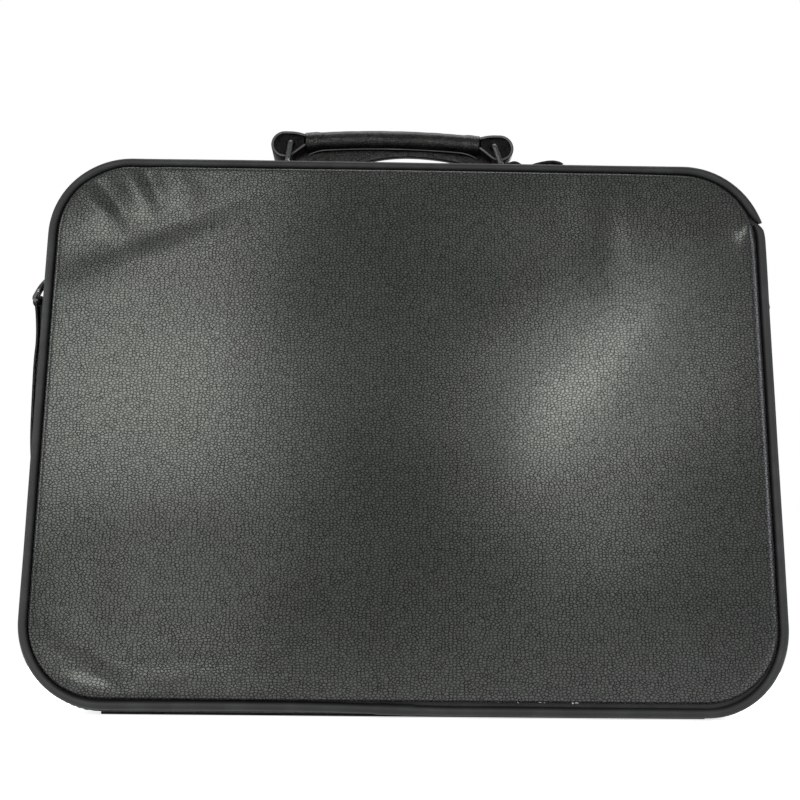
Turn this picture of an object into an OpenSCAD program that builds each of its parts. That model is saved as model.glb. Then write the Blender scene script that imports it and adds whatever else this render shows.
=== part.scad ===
// Soft leatherette briefcase: a shallow zipped lid hinged along the bottom of a deeper tub,
// corded panel edges, a handle hung on two wire rings, and a strap ring on each side.
// Millimetres. X runs along the width, Y from the lid at the front to the back, Z up.

/* [Case] */
// Width over the piping
case_w = 400; // [360:1:460]
// Height over the piping
case_h = 300; // [250:1:340]
// Depth over both runs of piping
case_d = 70; // [68:1:100]
// Outer corner radius of the panels
corner_r = 45; // [35:1:60]
// Depth of the lid from the front of its piping to the zip line
lid_depth = 19; // [18:0.5:21]
// How far the gusset stands out beyond the piping
bulge = 1.5; // [0:0.1:4]
// Depth of the slanted shoulder between the seam and the flat of the gusset
shoulder = 6; // [4:0.5:6]

/* [Leather and lining] */
// Thickness of the leatherette on the panels
leather_t = 1.2; // [0.8:0.1:1.8]
// Thickness of the gusset, leatherette with its backing
gusset_t = 2; // [1.4:0.1:2.6]
// How far the gusset seam lies below the outer edge of the piping
gusset_drop = 2; // [1.5:0.1:2.5]
// Thickness of the lining cloth
lining_t = 0.6; // [0.4:0.1:1]
// Thickness of the stiffening boards
board_t = 2; // [1:0.5:3]
// Height of the padded panel above its seam at the corners
pad_rise = 2.6; // [2:0.1:4]
// Extra height of the padded panel at its middle
pad_crown = 3; // [1:0.5:6]

/* [Piping] */
// Diameter of the piping bead
piping_d = 5; // [4.5:0.1:6]
// Thickness of the sewn flange of the piping
flange_t = 1; // [0.6:0.1:1.4]
// Width of the sewn flange inside the bead
flange_w = 8; // [6:0.5:12]
// Width of the stitched groove between the bead and the padded panel
groove_w = 2.4; // [1.5:0.1:4]

/* [Base] */
// Thickness of the base strip
base_t = 1.5; // [1.2:0.1:3]
// How far the base strip runs into each bottom corner
base_over = 2; // [0:0.5:6]
// Width of the base strip behind and in front of the middle of the case
base_half_d = 22; // [20:0.5:23]
// Thickness of the board inside the bottom of the tub
base_board_t = 2; // [1:0.5:3]

/* [Zip] */
// Distance from the zip line to the folded edge of the gusset
zip_reveal = 5; // [4:0.5:6]
// How far the zip tape runs under the gusset
tape_lap = 3; // [2:0.5:3]
// Thickness of the zip tape
tape_t = 0.6; // [0.4:0.1:0.8]
// Width of one row of zip coil
coil_w = 2.4; // [1.8:0.1:3]
// Gap between the two rows of coil
coil_gap = 1.4; // [1.2:0.1:1.8]
// How far the coil lies below the face of the gusset
coil_drop = 0.2; // [0:0.1:0.4]
// Place along the top where the two sliders meet
zip_meet_x = 98; // [60:1:105]
// Length of a slider
slider_l = 13; // [10:0.5:16]
// Width of a slider
slider_w = 10; // [9:0.5:10]
// Thickness of the slider plates
slider_plate_t = 1.1; // [0.8:0.1:1.6]
// Length of a pull from its pin to its tip
pull_l = 24; // [16:0.5:30]
// Width of a pull
pull_w = 6; // [5:0.5:7]
// Thickness of a pull
pull_t = 1.4; // [1:0.1:1.8]

/* [Handle] */
// Sideways place of the middle of the handle anchors
handle_x = -8; // [-20:1:20]
// Half the distance between the anchored ends of the handle rings
anchor_half = 63; // [55:1:75]
// How far behind the zip line the handle and the strap rings sit
handle_y = 17; // [16:0.5:20]
// Width of the anchor straps
anchor_w = 18; // [16:0.5:19]
// Thickness of the anchor straps
strap_t = 2.4; // [1.8:0.1:3]
// Height of the handle ring pins above the gusset
anchor_rise = 7; // [6.5:0.5:12]
// Length of the slope of a handle anchor
anchor_ramp = 20; // [16:1:26]
// Length of the riveted end of a handle anchor
anchor_flat = 26; // [22:1:34]
// Radius of the handle ring wire
wire_r = 1.6; // [1.2:0.1:1.8]
// Distance between the two bars of a handle ring
ring_l = 14; // [13.5:0.5:22]
// Lean of the left handle ring towards the middle
lean_left = 7; // [0:1:20]
// Lean of the right handle ring towards the middle
lean_right = 18; // [0:1:26]
// Radius of the rolled leather ends of the handle
roll_r = 7.5; // [6.5:0.1:7.5]
// How far outside its ring bar the middle of a rolled end lies
roll_out = 3.5; // [2.5:0.1:4]
// How far below its ring bar the middle of a rolled end lies
roll_low = 0.5; // [0:0.1:0.5]
// Width of the rolled ends
roll_w = 16; // [12:0.5:18]
// Play of the rolled ends on the ring bars
roll_play = 0.5; // [0.4:0.1:0.8]
// Thickness of the leather round the pins of the rings
loop_t = 1.7; // [1.2:0.1:2]
// Radius of the handle grip
grip_r = 6.5; // [6:0.1:8]
// Thickness of the leather around the grip
grip_t = 1.5; // [1:0.1:2]
// Rise of the grip's arch between its ends
grip_arch = 2.5; // [1.5:0.1:4]
// Height of the middle of the grip above the ring bars
grip_lift = 5.9; // [4:0.1:7]
// Distance from each ring bar to the end of the grip
grip_gap = 8.4; // [7.5:0.1:12]
// Depth of the stitched fin under the grip
fin_h = 3.5; // [2:0.1:5]
// Thickness of the stitched fin
fin_t = 3.4; // [2.4:0.1:4]

/* [Strap rings] */
// Height of the strap rings above the lower edge of the piping
side_z = 224; // [160:1:235]
// Height of the left strap ring pin off the gusset
side_rise = 10; // [7:0.5:12]
// Height of the right strap ring pin off the gusset, where the tab lies flatter
side_rise_right = 5; // [4.5:0.5:12]
// Length of the slope of a side tab
side_ramp = 38; // [30:1:50]
// Length of the riveted end of a side tab
side_flat = 20; // [16:1:26]
// Width of the side tabs
side_w = 18; // [14:0.5:20]
// Radius of the strap ring wire
dee_wire_r = 1.8; // [1.2:0.1:1.8]
// Length of the straight legs of the strap rings
dee_leg = 4; // [0.5:0.5:6]
// Lean of the left strap ring towards the gusset
dee_lean = 24; // [0:1:24]
// Lean of the right strap ring towards the gusset
dee_lean_right = 8; // [0:1:10]

/* [Rivets] */
// Radius of the rivet shanks
rivet_r = 1.6; // [1.2:0.1:2]
// Radius of the rivet heads
rivet_head_r = 4; // [3:0.1:4.5]
// Height of the rivet heads
rivet_head_h = 1.2; // [0.8:0.1:1.6]
// Thickness of the plate under the handle rivets
plate_t = 1.2; // [1:0.1:2]

/* [Inside] */
// Width of the pocket on the lid lining
pocket_w = 300; // [200:5:320]
// Height of the pocket on the lid lining
pocket_h = 165; // [100:5:200]
// Height of the foot of the pocket above the lower edge of the piping
pocket_low = 50; // [40:5:60]
// Thickness of the pocket cloth
pocket_t = 1; // [0.6:0.1:1.6]
// Height of the elastic hem of the pocket
hem_h = 14; // [8:1:20]
// Width of the holding strap inside the tub
hold_w = 38; // [20:1:50]
// Thickness of the holding strap
hold_t = 1.5; // [1:0.1:2.5]
// Overlap of the two halves of the holding strap
hold_lap = 70; // [40:1:100]

/* [Hidden] */
$fn = 96;
// Clearances between neighbouring pieces
fit = 0.3;
pin_fit = 0.1;
rivet_fit = 0.05;
// Heights and half runs of the outline
base_drop = base_t + bulge;
mid_z = base_drop + case_h / 2;
run_x = case_w / 2 - corner_r;
run_z = case_h / 2 - corner_r;
top_z = base_drop + case_h + bulge;
side_x = case_w / 2 + bulge;
ring_z = base_drop + side_z;
// Places measured forward from the middle of the depth
front_f = case_d / 2;
seam_f = front_f - piping_d;
flat_f = seam_f - shoulder;
zip_f = front_f - lid_depth;
coil_f = coil_gap / 2;
carry_y = handle_y - zip_f;
// Places measured outward from the outline of the piping
gusset_in = bulge - gusset_t;
tape_in = gusset_in - tape_t;
lining_in = gusset_in - lining_t;
// Padded panels, measured inward from the front of the piping
flange_front = (piping_d - flange_t) / 2;
flange_back = (piping_d + flange_t) / 2;
board_back = flange_back + board_t;
lining_back = max(board_back, piping_d) + lining_t;
lining_front = lining_back - lining_t;
pad_inset = piping_d + groove_w;
board_inset = piping_d + fit;
flange_inset = piping_d + flange_w;
pad_reach = norm([case_w / 2 - corner_r, case_h / 2 - corner_r]) + corner_r - pad_inset;
dome_edge = pad_reach + piping_d;
dome_sag = pad_crown * pow(dome_edge / pad_reach, 2);
dome_steps = 8;
crest = flange_front - pad_rise - pad_crown;
pad_depth = pad_rise + pad_crown + piping_d;
// Base strip and hinge
base_half = run_x + base_over;
hinge_r = base_t / 2;
hinge_fit = hinge_r + fit;
hinge_back = 2 * hinge_fit;
// Sliders and pulls
slider_gap = 2;
slider_left_x = zip_meet_x - slider_gap / 2 - slider_l / 2;
slider_right_x = zip_meet_x + slider_gap / 2 + slider_l / 2;
slider_post = coil_gap - 2 * fit;
slider_post_l = 5;
jaw_top = top_z - coil_drop + fit;
jaw_floor = top_z - gusset_t - tape_t - fit;
pin_r = 0.9;
lug_t = 0.9;
lug_l = 3;
eye_w = 3.6;
eye_t = 0.9;
eye_r = pin_r + pin_fit + eye_t;
pin_z = jaw_top + slider_plate_t + eye_r + fit;
pull_slot_w = 3;
// Handle rings and handle
bend_r = 2.6;
ring_room = 1;
ring_half = anchor_w / 2 + ring_room + wire_r;
ring_pin_z = top_z + anchor_rise;
bar_left = [handle_x - anchor_half + ring_l * sin(lean_left), ring_pin_z + ring_l * cos(lean_left)];
bar_right = [handle_x + anchor_half - ring_l * sin(lean_right), ring_pin_z + ring_l * cos(lean_right)];
bar_span = norm(bar_right - bar_left);
handle_tilt = atan2(bar_left[1] - bar_right[1], bar_right[0] - bar_left[0]);
grip_half = bar_span / 2 - grip_gap;
arch_r = (grip_half * grip_half + grip_arch * grip_arch) / (2 * grip_arch);
arch_half = asin(grip_half / arch_r);
arch_fn = 1440;
core_r = grip_r - grip_t;
band_t = 1.8;
band_w = 6;
band_sink = 3.6;
band_end = 0.5;
neck_w = 10;
neck_gap = 1;
// Strap rings
dee_half = side_w / 2 + ring_room + dee_wire_r;
// Rivets in the handle anchors and the side tabs
near_share = 0.35;
far_share = 0.8;
mid_share = 0.55;
anchor_rivets = [anchor_ramp + anchor_flat * near_share, anchor_ramp + anchor_flat * far_share];
side_rivets = [side_ramp + side_flat * mid_share];
plate_in = gusset_t + lining_t;
tail_h = 1;
tail_r = rivet_head_r * far_share;
washer_r = 5;
plate_margin = 6;
// Pocket and holding strap inside
pocket_z = base_drop + pocket_low;
hold_end = run_x + corner_r / 2;
inside_f = front_f - lining_back;
board_edge = 6;

// Colours
black_leather = [0.12, 0.12, 0.12];
dark_leather = [0.08, 0.08, 0.08];
cloth = [0.22, 0.22, 0.24];
board = [0.45, 0.36, 0.26];
foam = [0.75, 0.75, 0.7];
metal = [0.35, 0.35, 0.36];

// Rounded outline of the case, drawn in by a given amount
module outline(inset) {
    w = case_w - 2 * inset;
    h = case_h - 2 * inset;
    r = corner_r - inset;
    square([w, h - 2 * r], center = true);
    square([w - 2 * r, h], center = true);
    for (x = [-1, 1], y = [-1, 1])
        translate([x * run_x, y * run_z])
            circle(r);
}

// Flat piece of the outline between two depths behind the front of the piping
module slab(inset, from, to) {
    translate([0, to - front_f, mid_z])
        rotate([90, 0, 0])
            linear_extrude(to - from)
                outline(inset);
}

// Body of the padded panel behind its dome, with the dome drawn in by a given amount
module dome(inset, depth) {
    line = [for (k = [0:dome_steps]) [dome_edge * k / dome_steps, -dome_sag * pow(k / dome_steps, 2)]];
    translate([0, crest + inset - front_f, mid_z])
        rotate([90, 0, 0])
            rotate_extrude()
                polygon(concat(line, [[dome_edge, -depth], [0, -depth]]));
}

// A profile carried all round the outline: x outward from the piping, y forward
module around() {
    translate([0, 0, mid_z])
        rotate([90, 0, 0])
            for (k = [0:3]) {
                half = k % 2 == 0 ? run_z : run_x;
                reach = k % 2 == 0 ? run_x : run_z;
                rotate(90 * k) {
                    translate([reach + corner_r, half, 0])
                        rotate([90, 0, 0])
                            linear_extrude(2 * half)
                                children();
                    translate([reach, half, 0])
                        rotate_extrude(angle = 90)
                            translate([corner_r, 0])
                                children();
                }
            }
}

// Box between two opposite corners
module box(a, b) {
    translate(a)
        cube(b - a);
}

// Round bar along Y through a place in X and Z
module bar_y(x, z, r, from, to) {
    translate([x, to, z])
        rotate([90, 0, 0])
            cylinder(h = to - from, r = r);
}

// The zip runs all round but for the base
module zip_run() {
    difference() {
        around()
            children();
        box([-base_half, -case_d, -case_d], [base_half, case_d, mid_z]);
    }
}

// Panel pieces, drawn for the lid and mirrored for the tub
module panel_skin() {
    difference() {
        intersection() {
            slab(pad_inset, crest - leather_t, flange_front);
            dome(0, pad_depth);
        }
        intersection() {
            slab(pad_inset + leather_t, crest, flange_front + leather_t);
            dome(leather_t, pad_depth);
        }
    }
}

module panel_foam() {
    intersection() {
        union() {
            slab(pad_inset + leather_t, crest, flange_front);
            slab(flange_inset + fit, crest, flange_back);
        }
        dome(leather_t, pad_depth);
    }
}

module panel_board() {
    slab(board_inset, flange_back, board_back);
}

module panel_piping() {
    around() {
        translate([-piping_d / 2, front_f - piping_d / 2])
            circle(d = piping_d);
        translate([-flange_inset, front_f - flange_back])
            square([flange_inset - piping_d / 2, flange_t]);
    }
}

// Band of the gusset from the seam to a place measured forward, at a depth below its face
module band(end, depth, thick) {
    polygon([
        [-gusset_drop - depth, seam_f],
        [bulge - depth, flat_f],
        [bulge - depth, end],
        [bulge - depth - thick, end],
        [bulge - depth - thick, flat_f],
        [-gusset_drop - depth - thick, seam_f]
    ]);
}

// Lining of one half: a flat sheet with a wall that meets the zip tape
module lining(end) {
    slab(gusset_drop + gusset_t, lining_front, lining_back);
    around()
        intersection() {
            band(end, gusset_t, lining_t);
            translate([-corner_r, end])
                square([2 * corner_r, front_f - lining_front - end]);
        }
}

module lid_skin() {
    color(black_leather)
        panel_skin();
}

module lid_foam() {
    color(foam)
        panel_foam();
}

module lid_board() {
    color(board)
        panel_board();
}

module lid_piping() {
    color(dark_leather)
        panel_piping();
}

module lid_gusset() {
    color(black_leather)
        around()
            band(zip_f + zip_reveal, 0, gusset_t);
}

module lid_lining() {
    color(cloth)
        lining(zip_f + zip_reveal + tape_lap + fit);
}

module lid_zip_tape() {
    color(cloth)
        zip_run()
            translate([tape_in, zip_f + coil_f])
                square([tape_t, zip_reveal + tape_lap - coil_f]);
}

module lid_zip_coil() {
    color(dark_leather)
        zip_run()
            translate([gusset_in, zip_f + coil_f])
                square([gusset_t - coil_drop, coil_w]);
}

module lid_base() {
    color(black_leather)
        box([-base_half, -base_half_d, 0], [base_half, -zip_f - hinge_fit, base_t]);
}

module lid_pocket() {
    color(cloth)
        box(
            [-pocket_w / 2, -inside_f, pocket_z],
            [pocket_w / 2, pocket_t - inside_f, pocket_z + pocket_h]
        );
}

module lid_pocket_hem() {
    color(dark_leather)
        box(
            [-pocket_w / 2, -inside_f, pocket_z + pocket_h],
            [pocket_w / 2, 2 * pocket_t - inside_f, pocket_z + pocket_h + hem_h]
        );
}

module tub_skin() {
    color(black_leather)
        mirror([0, 1, 0])
            panel_skin();
}

module tub_foam() {
    color(foam)
        mirror([0, 1, 0])
            panel_foam();
}

module tub_board() {
    color(board)
        mirror([0, 1, 0])
            panel_board();
}

module tub_piping() {
    color(dark_leather)
        mirror([0, 1, 0])
            panel_piping();
}

module tub_gusset() {
    color(black_leather)
        difference() {
            mirror([0, 1, 0])
                around()
                    band(zip_reveal - zip_f, 0, gusset_t);
            all_rivet_holes();
        }
}

module tub_lining() {
    color(cloth)
        difference() {
            mirror([0, 1, 0])
                lining(zip_reveal - zip_f + tape_lap + fit);
            all_rivet_holes();
        }
}

module tub_zip_tape() {
    color(cloth)
        zip_run()
            translate([tape_in, zip_f - zip_reveal - tape_lap])
                square([tape_t, zip_reveal + tape_lap - coil_f]);
}

module tub_zip_coil() {
    color(dark_leather)
        zip_run()
            translate([gusset_in, zip_f - coil_f - coil_w])
                square([gusset_t - coil_drop, coil_w]);
}

module tub_base() {
    color(black_leather)
        box([-base_half, hinge_back - zip_f, 0], [base_half, base_half_d, base_t]);
}

// Round fold of the leather on the hinge line, with the web that joins it to the tub
module hinge_fold() {
    color(dark_leather) {
        translate([-base_half, -zip_f, hinge_r])
            rotate([0, 90, 0])
                cylinder(h = 2 * base_half, r = hinge_r);
        box([-base_half, -zip_f, hinge_r + fit / 2], [base_half, hinge_back - zip_f, base_t]);
    }
}

module base_board() {
    z = base_drop - lining_in;
    color(board)
        box([-run_x, zip_reveal - zip_f + board_edge, z], [run_x, flat_f, z + base_board_t]);
}

// Places of the rivets: along a strap, on the surface it is fixed to
module on_top(side) {
    translate([handle_x + side * anchor_half, carry_y, top_z])
        mirror([side < 0 ? 1 : 0, 0, 0])
            children();
}

module on_side(side) {
    mirror([side < 0 ? 1 : 0, 0, 0])
        translate([side_x, carry_y, ring_z])
            rotate([0, 90, 0])
                children();
}

module rivet_holes(places) {
    for (x = places)
        translate([x, 0, -corner_r / 2])
            cylinder(h = corner_r, r = rivet_r + rivet_fit);
}

module all_rivet_holes() {
    for (side = [-1, 1]) {
        on_top(side)
            rivet_holes(anchor_rivets);
        on_side(side)
            rivet_holes(side_rivets);
    }
}

// Rivets with a domed head over the strap and a flat tail inside
module rivets(places, inner) {
    for (x = places)
        translate([x, 0, 0]) {
            translate([0, 0, strap_t])
                cylinder(h = rivet_head_h, r1 = rivet_head_r, r2 = rivet_head_r / 2);
            translate([0, 0, -inner])
                cylinder(h = inner + strap_t, r = rivet_r);
            translate([0, 0, -inner - tail_h])
                cylinder(h = tail_h, r = tail_r);
        }
}

// Folded strap that holds a ring pin: a riveted flat, a slope and a loop round the pin
module anchor_profile(rise, ramp, flat, pin) {
    slope = atan2(rise - strap_t / 2, ramp);
    across = [sin(slope), cos(slope)] * strap_t / 2;
    low = [ramp, strap_t / 2];
    high = [0, rise];
    difference() {
        union() {
            translate([ramp, 0])
                square([flat, strap_t]);
            translate(low)
                circle(strap_t / 2);
            polygon([low - across, low + across, high + across, high - across]);
            translate(high)
                circle(pin + pin_fit + loop_t);
        }
        translate(high)
            circle(pin + pin_fit);
    }
}

module anchor_strap(rise, ramp, flat, pin, width, places) {
    difference() {
        translate([0, width / 2, 0])
            rotate([90, 0, 0])
                linear_extrude(width)
                    anchor_profile(rise, ramp, flat, pin);
        rivet_holes(places);
    }
}

module handle_anchor(side) {
    color(black_leather)
        on_top(side)
            anchor_strap(anchor_rise, anchor_ramp, anchor_flat, wire_r, anchor_w, anchor_rivets);
}

module handle_anchor_left() {
    handle_anchor(-1);
}

module handle_anchor_right() {
    handle_anchor(1);
}

module anchor_rivets() {
    color(metal)
        for (side = [-1, 1])
            on_top(side)
                rivets(anchor_rivets, plate_in + plate_t);
}

// Plate inside the top that spreads the pull of the handle
module handle_plate() {
    half = anchor_half + anchor_ramp + anchor_flat + plate_margin;
    depth = anchor_w / 2;
    color(metal)
        difference() {
            box(
                [handle_x - half, carry_y - depth, top_z - plate_in - plate_t],
                [handle_x + half, carry_y + depth, top_z - plate_in]
            );
            all_rivet_holes();
        }
}

// The left tab stands off the gusset and the right one lies flatter, each with its own lean of ring
function tab_rise(side) = side < 0 ? side_rise : side_rise_right;
function tab_lean(side) = side < 0 ? dee_lean : dee_lean_right;

module side_tab(side) {
    color(black_leather)
        on_side(side)
            anchor_strap(tab_rise(side), side_ramp, side_flat, dee_wire_r, side_w, side_rivets);
}

module side_tab_left() {
    side_tab(-1);
}

module side_tab_right() {
    side_tab(1);
}

module side_rivets() {
    color(metal)
        for (side = [-1, 1])
            on_side(side)
                rivets(side_rivets, plate_in + plate_t);
}

module side_washers() {
    color(metal)
        for (side = [-1, 1], x = side_rivets)
            on_side(side)
                translate([x, 0, -plate_in - plate_t])
                    difference() {
                        cylinder(h = plate_t, r = washer_r);
                        translate([0, 0, -plate_t])
                            cylinder(h = 3 * plate_t, r = rivet_r + rivet_fit);
                    }
}

// Rectangle of wire standing on its lower bar, in the plane across X
module wire_ring(half, height, wire) {
    for (side = [-1, 1]) {
        translate([0, side * half, bend_r])
            cylinder(h = height - 2 * bend_r, r = wire);
        translate([0, side * (half - bend_r), bend_r])
            wire_bend(side, -1, wire);
        translate([0, side * (half - bend_r), height - bend_r])
            wire_bend(side, 1, wire);
    }
    for (z = [0, height])
        bar_y(0, z, wire, bend_r - half, half - bend_r);
}

// Quarter bend of wire towards one side and up or down
module wire_bend(side, up, wire) {
    mirror([0, side < 0 ? 1 : 0, 0])
        mirror([0, 0, up < 0 ? 1 : 0])
            rotate([90, 0, 90])
                rotate_extrude(angle = 90)
                    translate([bend_r, 0])
                        circle(wire);
}

module handle_ring(x, lean) {
    color(metal)
        translate([x, carry_y, ring_pin_z])
            rotate([0, lean, 0])
                wire_ring(ring_half, ring_l, wire_r);
}

module handle_ring_left() {
    handle_ring(handle_x - anchor_half, lean_left);
}

module handle_ring_right() {
    handle_ring(handle_x + anchor_half, -lean_right);
}

// The handle is drawn along X from the left ring bar and then tilted into place
module on_handle() {
    translate([bar_left[0], carry_y, bar_left[1]])
        rotate([0, handle_tilt, 0])
            children();
}

// A section carried along the arch of the grip: x away from the arch centre, y across the handle
module along_grip(extra) {
    half = arch_half + extra;
    translate([bar_span / 2, 0, grip_lift - arch_r])
        rotate([90, 0, 0])
            rotate(90 - half)
                rotate_extrude(angle = 2 * half, $fn = arch_fn)
                    translate([arch_r, 0])
                        children();
}

module grip_section() {
    circle(grip_r);
    translate([-grip_r - fin_h, -fin_t / 2])
        square([grip_r + fin_h, fin_t]);
}

module band_section(room) {
    translate([-band_sink - room, -band_w / 2 - room])
        square([band_t + 2 * room, band_w + 2 * room]);
}

module grip_cover() {
    color(black_leather)
        on_handle()
            along_grip(0)
                difference() {
                    grip_section();
                    circle(core_r);
                }
}

module grip_core() {
    color(foam)
        on_handle()
            along_grip(0)
                difference() {
                    circle(core_r);
                    band_section(pin_fit);
                }
}

// Rolled end with an eye for a ring bar and the neck that runs into the grip, drawn for the left end
module roll_profile() {
    neck_x = grip_gap - neck_gap;
    neck_z = grip_lift - grip_arch;
    difference() {
        union() {
            translate([-roll_out, -roll_low])
                circle(roll_r);
            polygon([
                [-roll_out, roll_r - roll_low],
                [neck_x, neck_z + core_r],
                [neck_x, neck_z - core_r],
                [-roll_out, -roll_r - roll_low]
            ]);
        }
        circle(wire_r + roll_play);
    }
}

module handle_strap() {
    color(black_leather)
        on_handle() {
            for (end = [0, 1])
                translate([end * bar_span, 0, 0])
                    mirror([end, 0, 0])
                        translate([0, roll_w / 2, 0])
                            rotate([90, 0, 0])
                                linear_extrude(roll_w)
                                    roll_profile();
            along_grip(band_end)
                band_section(0);
        }
}

// Strap ring: a straight pin, two legs and a half round of wire
module dee_ring(side) {
    color(metal)
        mirror([side < 0 ? 1 : 0, 0, 0])
            translate([side_x + tab_rise(side), carry_y, ring_z])
                rotate([0, -tab_lean(side), 0]) {
                    bar_y(0, 0, dee_wire_r, -dee_half, dee_half);
                    for (leg = [-1, 1])
                        translate([0, leg * dee_half, 0])
                            cylinder(h = dee_leg, r = dee_wire_r);
                    translate([0, 0, dee_leg])
                        rotate([90, 0, 90])
                            rotate_extrude(angle = 180)
                                translate([dee_half, 0])
                                    circle(dee_wire_r);
                }
}

module dee_ring_left() {
    dee_ring(-1);
}

module dee_ring_right() {
    dee_ring(1);
}

// Slider with a plate over and under the coil, a post between the rows and lugs for the pull
module slider(x) {
    half = slider_l / 2;
    color(metal)
        translate([x, -zip_f, 0]) {
            box([-half, -slider_w / 2, jaw_top], [half, slider_w / 2, jaw_top + slider_plate_t]);
            box([-half, -slider_w / 2, jaw_floor - slider_plate_t], [half, slider_w / 2, jaw_floor]);
            box(
                [-slider_post_l / 2, -slider_post / 2, jaw_floor - slider_plate_t],
                [slider_post_l / 2, slider_post / 2, jaw_top + slider_plate_t]
            );
            box(
                [-half, coil_f + coil_w + fit, top_z - gusset_t + fit],
                [half, slider_w / 2, jaw_top + slider_plate_t]
            );
            for (side = [-1, 1]) {
                inner = eye_w / 2 + fit / 2;
                mirror([0, side < 0 ? 1 : 0, 0])
                    box([-lug_l / 2, inner, jaw_top], [lug_l / 2, inner + lug_t, pin_z + pin_r + fit]);
            }
            bar_y(0, pin_z, pin_r, -eye_w / 2 - lug_t, eye_w / 2 + lug_t);
        }
}

module zip_slider_left() {
    slider(slider_left_x);
}

module zip_slider_right() {
    slider(slider_right_x);
}

// Pull with an eye on the slider's pin and a slot towards its tip
module pull(x, side) {
    tip = pull_l - pull_w / 2;
    root = norm([lug_l / 2, pin_r + fit]) + fit;
    color(metal)
        translate([x, -zip_f, pin_z])
            mirror([side < 0 ? 1 : 0, 0, 0])
                difference() {
                    union() {
                        bar_y(0, 0, eye_r, -eye_w / 2, eye_w / 2);
                        box([0, -eye_w / 2, -pull_t / 2], [2 * root, eye_w / 2, pull_t / 2]);
                        box([root, -pull_w / 2, -pull_t / 2], [tip, pull_w / 2, pull_t / 2]);
                        translate([tip, 0, -pull_t / 2])
                            cylinder(h = pull_t, r = pull_w / 2);
                    }
                    bar_y(0, 0, pin_r + pin_fit, -pull_w, pull_w);
                    box([tip / 2, -pull_slot_w / 2, -pull_t], [tip, pull_slot_w / 2, pull_t]);
                }
}

module zip_pull_left() {
    pull(slider_left_x, -1);
}

module zip_pull_right() {
    pull(slider_right_x, 1);
}

// Two halves of the strap that holds papers against the back of the tub
module hold_strap_under() {
    color(dark_leather)
        box(
            [-hold_end, inside_f - hold_t, mid_z - hold_w / 2],
            [hold_lap / 2, inside_f, mid_z + hold_w / 2]
        );
}

module hold_strap_over() {
    inner = inside_f - hold_t;
    color(dark_leather) {
        box(
            [-hold_lap / 2, inner - hold_t, mid_z - hold_w / 2],
            [hold_lap, inner, mid_z + hold_w / 2]
        );
        box(
            [hold_lap / 2 + fit, inner - hold_t, mid_z - hold_w / 2],
            [hold_end, inside_f, mid_z + hold_w / 2]
        );
    }
}

lid_skin();
lid_foam();
lid_board();
lid_piping();
lid_gusset();
lid_lining();
lid_zip_tape();
lid_zip_coil();
lid_base();
lid_pocket();
lid_pocket_hem();
tub_skin();
tub_foam();
tub_board();
tub_piping();
tub_gusset();
tub_lining();
tub_zip_tape();
tub_zip_coil();
tub_base();
hinge_fold();
base_board();
handle_anchor_left();
handle_anchor_right();
anchor_rivets();
handle_plate();
side_tab_left();
side_tab_right();
side_rivets();
side_washers();
handle_ring_left();
handle_ring_right();
handle_strap();
grip_cover();
grip_core();
dee_ring_left();
dee_ring_right();
zip_slider_left();
zip_slider_right();
zip_pull_left();
zip_pull_right();
hold_strap_under();
hold_strap_over();
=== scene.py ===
"""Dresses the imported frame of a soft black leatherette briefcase.

A shallow zipped lid hangs on a deeper tub by a leather fold along the base. Both halves have a
padded panel inside a stitched groove and a corded edge. A padded handle hangs on two wire rings,
and each side carries a strap ring in a folded tab. Sizes in the classes are millimetres, as in the
part's own source, and every mesh ends in metres.
"""

import logging
import math
from dataclasses import dataclass
from enum import Enum
from typing import Callable, Sequence

import bpy
import numpy as np
from mathutils import Matrix, Vector


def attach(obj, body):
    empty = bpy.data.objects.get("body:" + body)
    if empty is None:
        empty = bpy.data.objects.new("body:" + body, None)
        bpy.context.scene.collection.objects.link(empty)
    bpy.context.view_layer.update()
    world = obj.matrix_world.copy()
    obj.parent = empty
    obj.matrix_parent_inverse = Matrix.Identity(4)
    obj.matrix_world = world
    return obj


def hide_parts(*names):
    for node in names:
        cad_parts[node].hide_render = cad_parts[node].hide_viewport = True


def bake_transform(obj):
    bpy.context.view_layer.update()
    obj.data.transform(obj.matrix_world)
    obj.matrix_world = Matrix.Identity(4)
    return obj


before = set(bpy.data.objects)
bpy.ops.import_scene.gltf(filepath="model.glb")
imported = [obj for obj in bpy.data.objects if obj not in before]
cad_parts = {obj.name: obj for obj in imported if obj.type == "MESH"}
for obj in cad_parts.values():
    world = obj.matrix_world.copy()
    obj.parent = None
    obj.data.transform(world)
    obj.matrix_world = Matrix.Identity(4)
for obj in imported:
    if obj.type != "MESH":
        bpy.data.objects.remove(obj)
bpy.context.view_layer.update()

MM = 0.001
MERGE = 0.002 * MM
SHARP_ANGLE = math.radians(50)
FLAT_ANGLE = math.radians(0.5)
LOG = logging.getLogger("briefcase")

Pair = tuple[float, float]
Triple = tuple[float, float, float]
Move = Callable[[np.ndarray], np.ndarray]
Inputs = dict[str | int, object]


class Half(Enum):
    """The two halves of the case."""

    LID = "lid"
    TUB = "tub"

    @property
    def facing(self) -> float:
        """-1 for the lid, whose panel faces forward along -Y, and 1 for the tub."""
        return -1.0 if self is Half.LID else 1.0


class Side(Enum):
    """Left and right as the photograph shows them."""

    LEFT = "left"
    RIGHT = "right"

    @property
    def sign(self) -> float:
        """-1 for the left and 1 for the right."""
        return -1.0 if self is Side.LEFT else 1.0


def hex_colour(code: str) -> tuple[float, float, float, float]:
    """Turns an sRGB hex value to linear light.

    Args:
        code: six hex digits after a hash.

    Returns:
        Linear red, green, blue and a full alpha.
    """
    parts = [int(code[k : k + 2], 16) / 255 for k in (1, 3, 5)]
    linear = [p / 12.92 if p <= 0.04045 else ((p + 0.055) / 1.055) ** 2.4 for p in parts]
    return (linear[0], linear[1], linear[2], 1.0)


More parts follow.
